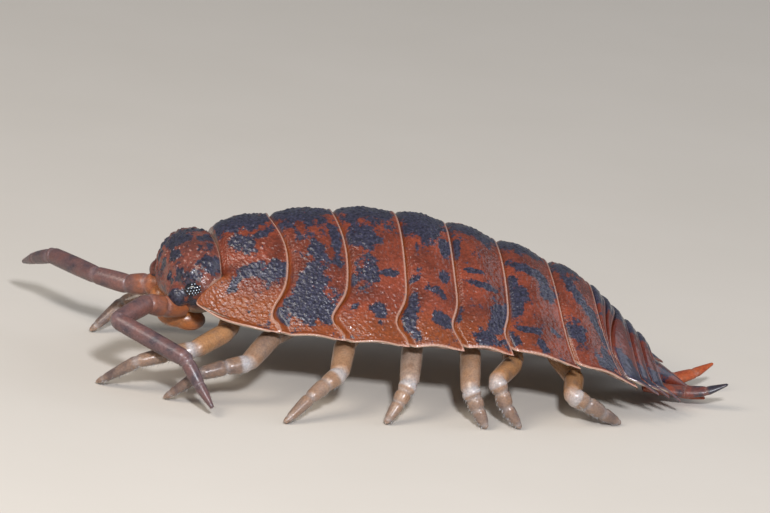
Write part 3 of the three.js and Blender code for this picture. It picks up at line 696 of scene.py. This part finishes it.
def plate_paint(index, s, y, t, past, rim, edge):
    """Painted values of a plate's outer face: blotches, thin pale rims, the smooth front band and warm side
    plates. The first plate has no band, but a smooth lobe beside each eye."""
    if index == 0:
        lobe = smooth((np.abs(t) - 0.76) / 0.08) * (1 - smooth((s - collar_at(y) - 0.34) / 0.14))
        band = 0.3 * lobe
        dark = marked(index, past, t) * (1 - lobe)
        warm = np.maximum(smooth((np.abs(t) - 0.66) / 0.16), lobe)
    elif index <= LAST_TRUNK:
        band = 1 - smooth((past - 0.03) / 0.06)
        dark = marked(index, past, t)
        warm = smooth((np.abs(t) - 0.74) / 0.2) * (1 - smooth((s - 8) / 4)) * 0.75
    else:
        band = 1 - smooth((past - 0.05) / 0.1)
        dark = tail_marks(past, t)
        warm = 0 * s
    pale = np.maximum(1 - smooth((rim - 0.012) / 0.03), 1 - smooth((edge - 0.012) / 0.04))
    pale = pale * (0.35 if index > LAST_TRUNK else 0.8)
    return {"dark": dark, "pale": pale, "band": band * 0.9, "warm": warm}


def plate_top(index, t):
    """The outer face with its studs, which stop short of the front band, the rim and the lower edges, and
    with a thin roll and groove along the rim. Returns points, their level without the relief, and paint."""
    rows = (TAIL_GRID if index > LAST_TRUNK else TRUNK_GRID)[0]
    u = np.linspace(0, 1, rows)[:, None]
    s, y, level, past = plate_surface(index, t, u)
    rim = rim_at(index, y) - s
    edge = (1 - np.abs(t)) * PLATES[index][2] * 1.4 + 0 * s
    across = np.cumsum(np.hypot(np.gradient(y, axis=1), np.gradient(level, axis=1)), 1)
    paint = plate_paint(index, s, y, t, past, rim, edge)
    clear = smooth((past - 0.1) / 0.08) * smooth((rim - 0.05) / 0.05) * smooth((edge - 0.08) / 0.08)
    bare = smooth((paint["band"] - 0.1) / 0.2)
    roll = 0.012 * np.exp(-(((rim - 0.03) / 0.03) ** 2)) - 0.012 * np.exp(-(((rim - 0.09) / 0.04) ** 2))
    z = level + granules(index, s, across) * (clear * (1 - bare)) + roll * smooth(edge / 0.1)
    return s, y, z, level, paint


def plate_below(index, t, top):
    """The stretches that close each loop below the outer face: round the thin hind lip, forward under it,
    forward along the inner face and up the front. The inner face lies a plate's thickness below the outer
    one, and at the belly where the trunk fills the plate."""
    small = index > LAST_TRUNK
    s, y, z, level, _ = top
    thick = mix(PLATE_THICK, EDGE_THICK, smooth((np.abs(t) - 0.66) / 0.26))
    trunk = 1 - smooth((np.abs(t) - BELLY_SHARE) / 0.12)
    lip = np.minimum(LIP, thick * 0.7)
    turn = np.linspace(np.pi / 2, -np.pi / 2, 8)[1:-1, None]
    round_z = level[-1:] + (np.sin(turn) - 1) * lip / 2
    paint = {"pale": 0.4 if small else 0.6}
    lip_round = (s[-1:] + np.cos(turn) * lip * 0.4, y[-1:], round_z, level[-1:], paint)
    u = np.linspace(1.0, 0.7 if small else 0.88, 4)[:, None]
    under_s, under_y, under_level, _ = plate_surface(index, t, u)
    # Painted shade: the underside of the hind lip is painted dark, where the lip overhangs the plate behind
    lip_under = (under_s, under_y, under_level - lip, under_level, {"dark": 0.6})
    u = np.linspace(0.6 if small else 0.86, 0.04, 24)[:, None]
    inner_s, inner_y, inner_level, _ = plate_surface(index, t, u)
    front_thin = mix(0.4, 1, smooth(u / 0.35)) if index == 0 else 1
    belly = np.minimum(BELLY_Z * (PLATES[index][3] / FULL_RISE), inner_level - PLATE_THICK)
    low = mix(inner_level - thick * front_thin, belly, trunk)
    inner = (inner_s, inner_y, low, inner_level, {"under": 1.0})
    nose = np.linspace(0, 1, 4)[1:-1, None]
    front = (s[:1], y[:1], mix(low[-1:], z[:1], nose), level[:1], {"under": 1.0})
    return [lip_round, lip_under, inner, front]


def plate(index, material, slot):
    """A shell plate: at each place across the back it is one closed loop, over the outer face and back by
    the stretches below it. Towards each lower edge every loop draws in to a half circle, which rounds the
    edge off."""
    columns = (TAIL_GRID if index > LAST_TRUNK else TRUNK_GRID)[1]
    t = np.sin(np.linspace(-1, 1, columns) * np.pi / 2)[None, :]
    top = plate_top(index, t)
    stretches = [top] + plate_below(index, t, top)
    blocks = [np.broadcast_arrays(*stretch[:4]) for stretch in stretches]
    s, y, z, level = (np.vstack([block[k] for block in blocks]) for k in range(4))
    closing = np.clip((np.abs(t) - 0.975) / 0.025, 0, 1)
    middle = level - EDGE_THICK / 2
    z = middle + (z - middle) * np.sqrt(1 - closing**2)
    paint = {}
    for key in Shape.PAINT:
        values = [stretch[4].get(key, 0.0) for stretch in stretches]
        paint[key] = np.vstack([np.broadcast_to(v, block[0].shape) for v, block in zip(values, blocks)]).T
    shape = Shape()
    add_rings(shape, place(s, y, z).transpose(1, 0, 2), **paint)
    name = PLATES[index][0]
    shape.build(name + "_shell", material, [name])


def ray_exit(start, rays, centre, radii):
    """How far along each ray from a point an ellipsoid is left, and well below 0 where it is missed."""
    o = (np.array(start) - centre) / radii
    d = rays / radii
    a = (d * d).sum(-1)
    b = (d * o).sum(-1)
    c = (o * o).sum() - 1
    root = b * b - a * c
    return np.where(root > 0, (-b + np.sqrt(np.maximum(root, 0))) / a, -9.0)


LOBE_SHARPNESS = 14.0  # how crisply the lobes of a skin meet


def lobed_skin(rows, cols, core, lobes):
    """A closed skin round a point: along each ray it lies at the soft maximum of the lobes' exits."""
    polar = np.linspace(0.004, np.pi - 0.004, rows)[:, None]
    around = 2 * np.pi * np.arange(cols)[None, :] / cols
    forward = np.cos(polar) + 0 * around
    rays = np.stack([forward, np.sin(polar) * np.cos(around), np.sin(polar) * np.sin(around)], -1)
    exits = np.stack([ray_exit(core, rays, np.array(c, float), np.array(r, float)) for c, r in lobes])
    soft_sum = np.exp(LOBE_SHARPNESS * (exits - exits.max(0))).sum(0)
    far = np.log(soft_sum) / LOBE_SHARPNESS + exits.max(0)
    return np.array(core) + rays * far[..., None], rays


# The head: the point it is seen from, and the middle and radii of its skull, front lobe and side lobes
HEAD_CORE = (1.2, 0.0, 0.62)
HEAD_LOBES = [
    ((1.2, 0, 0.76), (1.02, HEAD_HALF, 1.14)),
    ((0.5, 0, 0.42), (0.32, 0.8, 0.34)),
    ((0.52, 1.22, 0.36), (0.32, 0.34, 0.32)),
    ((0.52, -1.22, 0.36), (0.32, 0.34, 0.32)),
]
HEAD_UNMARKED = 0.26

# Blotches on the head: middle in body coordinates, and radius
HEAD_BLOTCHES = [
    ((0.65, 0.15, 1.71), 0.42), ((0.48, 1.24, 1.02), 0.22), ((0.74, 1.62, 1.02), 0.3),
    ((1.38, 1.5, 1.4), 0.36), ((1.1, 1.45, 1.42), 0.22), ((0.88, 1.61, 0.31), 0.2),
    ((0.41, 1.45, 0.4), 0.27), ((0.22, 0.3, 1.04), 0.2), ((0.39, 0.6, 1.35), 0.22),
    ((1.3, 0.4, 1.9), 0.3), ((0.3, 0.9, 0.75), 0.16), ((1.3, 1.7, 0.6), 0.22),
]


def eye_seats(s, y, z):
    """Distance from the nearer eye's middle, drawn out along the body: it keeps the studs off the eyes and
    raises a low ring round each."""
    return np.hypot(np.hypot((s - EYE[0]) / 1.6, np.abs(y) - EYE[1]), z - EYE[2])


def head_relief(s, y, z, wall):
    """How far the head's skin is pushed out: studs on top, a furrow beside the middle lobe, a ring round
    each eye and a thin ridge along the hind rim."""
    seat = eye_seats(s, y, z)
    up = smooth((z - 0.35) / 0.3) * (s <= wall) * smooth((wall - s) / 0.1)
    up = up * smooth((seat - 0.22) / 0.1)
    slant = s + 0.4 * z
    arc = np.arctan2(y, z + 0.6) * 1.9
    height = studs(slant, arc, 0.2, 0.095, 71) * 0.05 + studs(slant, arc, 0.1, 0.048, 72) * 0.016
    furrow = 0.05 * np.exp(-(((np.abs(y) - 0.86) / 0.07) ** 2))
    furrow = furrow * smooth((0.9 - s) / 0.3) * smooth((1.3 - z) / 0.4)
    ring = 0.025 * np.exp(-(((seat - 0.29) / 0.05) ** 2))
    ridge = 0.02 * np.exp(-(((wall - s - 0.04) / 0.03) ** 2)) * smooth((z - 0.2) / 0.3)
    return height * up - furrow + ring + ridge


def head(material):
    """The head: a domed skull with a blunt middle lobe and a round lobe before each eye, cut off behind by
    the first plate's collar."""
    local, rays = lobed_skin(230, 340, HEAD_CORE, HEAD_LOBES)
    s, y, z = np.moveaxis(local, -1, 0)
    wall = collar_at(y) - COLLAR_GAP
    local = local + rays * head_relief(s, y, z, wall)[..., None]
    s, y, z = np.moveaxis(local, -1, 0)
    pale = (1 - smooth((wall - s - 0.02) / 0.04)) * smooth((z - 0.2) / 0.3)
    dark = np.full(s.shape, HEAD_UNMARKED)
    for (blotch_s, blotch_y, blotch_z), radius in HEAD_BLOTCHES:
        far = np.sqrt((s - blotch_s) ** 2 + (np.abs(y) - blotch_y) ** 2 + (z - blotch_z) ** 2) / radius
        dark = np.maximum(dark, faded(far))
    under = 1 - smooth((z + 0.1) / 0.25)
    shape = Shape()
    add_rings(shape, place(np.minimum(s, wall), y, z), pale=pale * 0.8, dark=dark, under=under)
    shape.build("cephalon_shell", material, ["cephalon"])


# Lenses of an eye: how many in each row, the steps along and between rows, and their radii
LENS_ROWS = (4, 7, 8, 7, 4)
LENS_STEP = 0.084
LENS_ROW_STEP = 0.08
LENS_RADII = (0.038, 0.036, 0.038)


def on_eye(local, side):
    """Tilts a skin about the eye's own middle and sets it on its side of the head."""
    ds, y, dz = np.moveaxis(local, -1, 0)
    s = EYE[0] + ds * np.cos(EYE_TILT) - dz * np.sin(EYE_TILT)
    z = EYE[2] + ds * np.sin(EYE_TILT) + dz * np.cos(EYE_TILT)
    return place(s, side * (EYE[1] + y), z)


def compound_eye(side, word, material):
    """One eye: a low black mound with domed lenses in staggered rows, each with a painted highlight near its
    top.
    """
    shape = Shape()
    mound, _ = lobed_skin(30, 44, (0.0, 0.0, 0.0), [((0.0, 0.0, 0.0), EYE_RADII)])
    add_rings(shape, on_eye(mound, side))
    for row, count in enumerate(LENS_ROWS):
        for k in range(count):
            along = (k - (count - 1) / 2) * LENS_STEP
            above = (row - 2) * LENS_ROW_STEP
            depth = np.sqrt(max(0.0, 1 - (along / EYE_RADII[0]) ** 2 - (above / EYE_RADII[2]) ** 2))
            spot = (along, EYE_RADII[1] * depth - 0.006, above)
            lens, rays = lobed_skin(14, 18, spot, [(spot, LENS_RADII)])
            # Painted highlight: a pale dot on each lens, facing out and a little upwards
            painted_glint = smooth((rays[..., 1] * 0.9 + rays[..., 2] * 0.42 - 0.86) / 0.08)
            add_rings(shape, on_eye(lens, side), pale=painted_glint * 0.8)
    shape.build("eye_" + word + "_lenses", material, ["eye_" + word])


# Mouthparts: middle and radii of each rounded plate, from the middle one outwards
MOUTH_PLATES = [
    ((0.8, 0.0, -0.3), (0.6, 0.55, 0.46)), ((0.75, 0.5, -0.4), (0.62, 0.42, 0.4)),
    ((1.05, 0.62, -0.52), (0.5, 0.34, 0.32)), ((0.45, 0.62, -0.22), (0.3, 0.34, 0.3)),
]


def mouth(material):
    """Jaws and their feet under the head: overlapping pairs of rounded plates round a middle one."""
    shape = Shape()
    for centre, radii in MOUTH_PLATES:
        for side in (-1, 1) if centre[1] else (1,):
            middle = (centre[0], side * centre[1], centre[2])
            local, _ = lobed_skin(36, 48, middle, [(middle, radii)])
            s, y, z = np.moveaxis(local, -1, 0)
            grey = smooth((s - centre[0]) / 0.4) * (centre[1] > 0.6)
            s = np.minimum(s, collar_at(y) - COLLAR_GAP)
            add_rings(shape, place(s, y, z), dark=0.2 + grey * 0.5, warm=0.5)
    shape.build("mouthparts_plates", material, ["mouthparts"])


def jointed(shape, joints, widths, count, sides, flat, soft, start_side, neck, skin, paint=None):
    """A jointed limb: a tube along the softened path, each article a little barrel-shaped and drawn in at
    its joints. Painted values are given as shares of the length and their values there."""
    centres, at, run = soft_path(joints, count, soft)
    pinch = np.zeros(count)
    swell = np.zeros(count)
    for where in run[1:-1]:
        pinch = np.maximum(pinch, np.exp(-(((at - where) / skin) ** 2)))
    for low, high in zip(run[:-1], run[1:]):
        share = np.clip((at - low) / (high - low), 0, 1)
        swell = np.where((at >= low) & (at <= high), np.sin(np.pi * share**0.8), swell)
    wide = np.interp(at, run, widths) * (1 - neck * pinch + 0.05 * swell)
    wide[-1] *= 0.35
    wide[0] *= 0.8
    side, up, ahead = carried(centres, start_side)
    tone = {key: np.interp(at / run[-1], *value) for key, value in (paint or {}).items()}
    tone["pale"] = np.maximum(tone.get("pale", 0.0), pinch * 0.16)
    tube(shape, centres, side, up, wide, wide * flat, sides, **tone)
    return {"centres": centres, "side": side, "up": up, "ahead": ahead, "wide": wide, "at": at, "run": run}


def at_spots(path, spot, field):
    """Values of a path's own field at places along it."""
    return np.stack([np.interp(spot, path["at"], path[field][:, k]) for k in range(3)], -1)


def leg_joints(pair, stance, side):
    """A leg's joints: hip and upper bend under the plate, then the stance's knee, wrist and foot, with an
    ankle between the last two articles and a short claw."""
    _, rim, half, rise = PLATES[pair][:4]
    hip_s = rim - HIP_BACK[pair]
    hip_y = side * half * HIP_SHARE
    belly = BELLY_Z * (rise / FULL_RISE)
    hip = place(hip_s, hip_y, belly - 0.1)
    low = place(hip_s, hip_y * 1.08, belly - 0.46)
    out, knee, wrist = (stand(p) for p in stance[:3])
    foot = stand((*stance[3], 0.0))
    mid = mix(knee, wrist, 0.48) + [0, 0, 0.03]
    claw = mix(wrist, foot, 0.8)
    claw[2] += 0.03
    return [hip, low, out, knee, mid, wrist, claw, foot + [0, 0, 0.06]]


def leg_paint(pair, knee, mid):
    """A leg's painted values along its length: orange above the knee, pale skin at it, darker below."""
    warm = LEG_WARM[pair]
    shade = LEG_DARK[pair]
    return {
        "warm": ([0, knee - 0.03, knee + 0.05, 1], [warm, warm, 0.3, 0.1]),
        "dark": ([0, knee, mid, 0.9, 1], [shade * 0.6, shade * 0.5, shade, shade + 0.3, 0.3]),
        "pale": ([0, knee - 0.015, knee + 0.01, knee + 0.035, knee + 0.05, 1], [0, 0, 0.45, 0.45, 0, 0]),
    }


def leg(pair, stance, side, word, material):
    """A walking leg: a jointed limb with spines scattered on the lower side of its lower articles, pressed
    flat where it stands on the floor."""
    joints = leg_joints(pair, stance, side)
    run = np.concatenate([[0], np.cumsum(np.linalg.norm(np.diff(joints, axis=0), axis=1))])
    paint = leg_paint(pair, run[3] / run[-1], run[4] / run[-1])
    shape = Shape()
    path = jointed(
        shape, joints, LEG_WIDE, count=150, sides=22, flat=0.84, soft=0.11, start_side=(0.2, 0, 1),
        neck=0.16, skin=0.06, paint=paint,
    )
    rng = np.random.default_rng(100 + pair + (10 if side > 0 else 0))
    spot = rng.uniform(run[3] + 0.1, run[6], LEG_SPINES)
    go = at_spots(path, spot, "ahead")
    swing = rng.uniform(-1.1, 1.1, LEG_SPINES)[:, None]
    downward = np.cross(go, np.cross([0, 0, -1.0], go))
    downward /= np.linalg.norm(downward, axis=1)[:, None]
    away = downward * np.cos(swing) + np.cross(go, downward) * np.sin(swing)
    wide = np.interp(spot, path["at"], path["wide"])[:, None]
    roots = at_spots(path, spot, "centres") + away * (wide * 0.38)
    spines(shape, roots, away + go * 0.9, rng.uniform(0.08, 0.17, LEG_SPINES), 0.01, pale=0.5)
    shape.points = [np.maximum(block, [-np.inf, -np.inf, 0.0]) for block in shape.points]
    name = "leg_" + word + "_" + str(pair + 1)
    shape.build(name + "_limb", material, [name])


def feeler(joints, word, material):
    """A feeler: five stout jointed articles and a two-part whip, covered in short bristles."""
    shape = Shape()
    points = [place(*j) for j in joints]
    paint = {
        "warm": ([0, 0.1, 0.26, 1], [1, 0.9, 0.12, 0]),
        "dark": ([0, 0.2, 0.45, 1], [0.15, 0.45, 0.6, 0.7]),
    }
    path = jointed(
        shape, points, FEELER_WIDE, count=240, sides=28, flat=0.96, soft=0.08, start_side=(0.2, 0.1, 1),
        neck=0.1, skin=0.05, paint=paint,
    )
    rng = np.random.default_rng(7 if word == "left" else 8)
    spot = rng.uniform(path["run"][1], path["run"][-1], FEELER_BRISTLES)
    turn = rng.uniform(0, 2 * np.pi, FEELER_BRISTLES)[:, None]
    away = at_spots(path, spot, "side") * np.cos(turn) + at_spots(path, spot, "up") * np.sin(turn)
    wide = np.interp(spot, path["at"], path["wide"])[:, None]
    roots = at_spots(path, spot, "centres") + away * (wide * 0.46)
    lengths = rng.uniform(0.04, 0.08, FEELER_BRISTLES)
    spines(shape, roots, away * 0.5 + at_spots(path, spot, "ahead"), lengths, 0.007, pale=0.3)
    nodes = ["antenna_" + word + "_peduncle", "antenna_" + word + "_flagellum"]
    shape.build("antenna_" + word + "_feeler", material, nodes)


def tail_spike(material):
    """The telson: a small triangle with a drawn-out tip, keeled on top. Each ring is a flat lens between
    its crown and its lower face."""
    shape = Shape()
    u = np.linspace(0, 1, 40)[:, None]
    ring = 2 * np.pi * np.arange(60)[None, :] / 60
    t = np.cos(ring)
    y = t * mix(0.95, 0.1, u**0.62)
    s = mix(margin_at(PLATES[-1], y) - 0.15, BODY_LENGTH, u)
    crown = mix(0.42, 0.12, u) * (1 - 0.45 * t * t) + EDGE_RISE - 0.08 * (1 - u)
    low = np.minimum(crown - mix(0.5, 0.2, u), 0.05)
    face = np.where(np.sin(ring) >= 0, crown, low)
    z = mix(mix(low, crown, 0.5), face, np.sqrt(np.abs(np.sin(ring))))
    z = z - 0.03 * np.exp(-((t / 0.25) ** 2)) * (np.sin(ring) > 0) * (1 - u)
    below = (np.sin(ring) < -0.2) + 0.0
    add_rings(shape, place(s, y, z), dark=0.75 * (1 - u), pale=smooth((u - 0.9) / 0.1) * 0.4, under=below)
    shape.build("telson_shell", material, ["telson"])


def tail_fork(side, word, material):
    """One side of the tail fork: a short root, a flat lance that flares upwards and a slim inner rod."""
    shape = Shape()
    outer = [place(15.0, side * 0.62, -0.44)]
    outer += [stand((x, side * y - TAIL_BEND, z)) for x, y, z in OUTER_TAIL]
    tint = {"dark": ([0, 0.45, 1], [0.3, 0.6, 1.1] if side < 0 else [0.1, 0.05, 0.2])}
    jointed(
        shape, outer, OUTER_TAIL_WIDE, count=70, sides=20, flat=0.6, soft=0.12, start_side=(0, 1, 0.2),
        neck=0.12, skin=0.05, paint=tint,
    )
    inner = [place(15.4, side * 0.4, -0.4)]
    inner += [stand((x, side * y - TAIL_BEND, z)) for x, y, z in INNER_TAIL]
    jointed(
        shape, inner, INNER_TAIL_WIDE, count=50, sides=16, flat=0.8, soft=0.1, start_side=(0, 1, 0.2),
        neck=0.08, skin=0.04,
    )
    shape.build("uropod_" + word + "_fork", material, ["uropod_" + word])


def gills(side, word, material):
    """Five overlapping gill plates on one side, each a thin rounded leaf with a swollen edge."""
    ring = 2 * np.pi * np.arange(48)[None, :] / 48
    u = np.linspace(0.0, 1, 16)[:, None]
    v = 0.5 + 0.5 * np.cos(ring) * np.sin(np.pi * (0.12 + 0.86 * u) ** 0.8) ** 0.5
    for index in range(5):
        s = GILL_START + index * GILL_STEP + u * 0.5 + 0 * ring
        y = side * (0.1 + v * mix(1.45, 0.5, index / 4))
        z = mix(-0.08, -0.34, u) - 0.06 * index - 0.06 * np.sin(np.pi * v)
        z = z + 0.08 * np.sin(ring) * (1 - 0.5 * u)
        shape = Shape()
        add_rings(shape, place(s, y, z), dark=0.2)
        name = "pleopod_" + word + "_" + str(index + 1)
        shape.build(name + "_leaf", material, [name])


def camera():
    """The camera fitted to the photograph: a long lens, turned, raised and rolled."""
    level = np.array([np.sin(VIEW_AZIMUTH), -np.cos(VIEW_AZIMUTH), 0.0])
    back = level * np.cos(VIEW_ELEVATION) + np.array([0.0, 0.0, np.sin(VIEW_ELEVATION)])
    right = np.cross(-back, [0, 0, 1.0])
    right /= np.linalg.norm(right)
    up = np.cross(right, -back)
    rolled_right = right * np.cos(VIEW_ROLL) + up * np.sin(VIEW_ROLL)
    rolled_up = up * np.cos(VIEW_ROLL) - right * np.sin(VIEW_ROLL)
    aside = (PICTURE[0] / 2 - TARGET_PIXEL[0]) / PIXELS_PER_MM
    above = (TARGET_PIXEL[1] - PICTURE[1] / 2) / PIXELS_PER_MM
    target = VIEW_TARGET - CENTRE + rolled_right * aside + rolled_up * above
    data = bpy.data.cameras.new("camera")
    data.sensor_width = SENSOR_WIDTH
    data.lens = PIXELS_PER_MM * VIEW_DISTANCE / PICTURE[0] * SENSOR_WIDTH
    data.clip_start = 0.01
    data.clip_end = 10.0
    obj = bpy.data.objects.new("camera", data)
    bpy.context.scene.collection.objects.link(obj)
    matrix = np.eye(4)
    matrix[:3] = np.column_stack([rolled_right, rolled_up, back, (target + back * VIEW_DISTANCE) * MM])
    obj.matrix_world = Matrix(matrix.tolist())
    bpy.context.scene.camera = obj


def lamp(name, place_mm, size_mm, power, colour):
    """A square area light at a place, aimed at the animal's middle."""
    data = bpy.data.lights.new(name, "AREA")
    data.size = size_mm * MM
    data.energy = power
    data.color = linear(colour)[:3]
    obj = bpy.data.objects.new(name, data)
    bpy.context.scene.collection.objects.link(obj)
    away = np.array(place_mm, float) - LAMP_AIM
    away /= np.linalg.norm(away)
    side = np.cross([0, 0, 1.0], away)
    side /= np.linalg.norm(side)
    matrix = np.eye(4)
    matrix[:3] = np.column_stack([side, np.cross(away, side), away, np.array(place_mm) * MM])
    obj.matrix_world = Matrix(matrix.tolist())


def studio():
    """A pale floor, a broad key light, a small one that makes the granules sparkle, and a soft fill."""
    mesh = bpy.data.meshes.new("floor")
    r = FLOOR_HALF
    mesh.from_pydata([(-r, -r, 0), (r, -r, 0), (r, r, 0), (-r, r, 0)], [], [(0, 1, 2, 3)])
    mesh.materials.append(floor_paint())
    floor = bpy.data.objects.new("floor", mesh)
    bpy.context.scene.collection.objects.link(floor)
    lamp("key", (-95, -65, 105), 70, 0.125, "FFF6EA")
    lamp("sparkle", (-12, -112, 72), 11, 0.17, "F6F8FF")
    lamp("fill", (110, 20, 70), 90, 0.035, "EEF3FF")
    world = bpy.data.worlds.new("studio")
    bpy.context.scene.world = world
    world.use_nodes = True
    world.node_tree.nodes.clear()
    glow = node(world.node_tree, "Background", {"Color": linear("DCE2EA"), "Strength": 0.27})
    node(world.node_tree, "OutputWorld", {"Surface": glow}, out=None)
    bpy.context.scene.view_settings.view_transform = "Standard"


BACK = cuticle(
    "mottled_shell_cuticle", base=("5A2617", "803A24"), warm="80401A", dark=("1A1926", "38374A"),
    pale="B48C7A", band="82421C",
)
HEAD = cuticle(
    "head_shell_cuticle", base=("5E3026", "7C4234"), warm="8A462A", dark=("1A1924", "383749"),
    pale="B48C7A", band="82421C",
)
# The tail's colours are a darker copy of the back's: partly the tail's own colour, partly painted shade for
# the tail turned away from the light
TAIL = cuticle(
    "tail_shell_cuticle", base=("561F14", "6C2E1E"), warm="703420", dark=("1D1C2B", "3A394D"),
    pale="946A5C", band="6E3018", relief=0.3,
)
LEGS = horn(
    "leg_cuticle", base=("846C5C", "A69080"), warm="A87A50", dark="5E4E4A", pale="C0C8D0",
    gloss=0.32, soft=0.4,
)
FEELERS = horn(
    "antenna_cuticle", base=("744E48", "8E6860"), warm="9A5832", dark="43363C", pale="9C9298",
    gloss=0.4, soft=0.1, relief=0.8,
)
FORKS = horn(
    "uropod_cuticle", base=("96401E", "B05A2E"), warm="B05A2E", dark="2E2A34", pale="B98E7C",
    gloss=0.4, soft=0.12,
)
JAWS = horn(
    "mouthpart_cuticle", base=("94522C", "AE7040"), warm="B06A34", dark="5A4E4C", pale="C9B8A6",
    gloss=0.34, soft=0.25,
)
GILLS = horn(
    "gill_plate_cuticle", base=("A5937C", "C0B29C"), warm="C0B29C", dark="7C6C5E", pale="D5CCBB",
    gloss=0.4, soft=0.3,
)
EYES = eye_lens()

camera()
studio()
for number in range(len(PLATES)):
    if number > LAST_TRUNK:
        plate(number, TAIL, "tail_cuticle")
    else:
        plate(number, BACK, "back_cuticle")
head(HEAD)
mouth(JAWS)
tail_spike(TAIL)
SIDES = ((-1, "left", LEFT_LEGS, LEFT_FEELER), (1, "right", RIGHT_LEGS, RIGHT_FEELER))
for side, word, stances, joints in SIDES:
    compound_eye(side, word, EYES)
    feeler(joints, word, FEELERS)
    for pair, stance in enumerate(stances):
        leg(pair, stance, side, word, LEGS)
    tail_fork(side, word, FORKS)
    gills(side, word, GILLS)
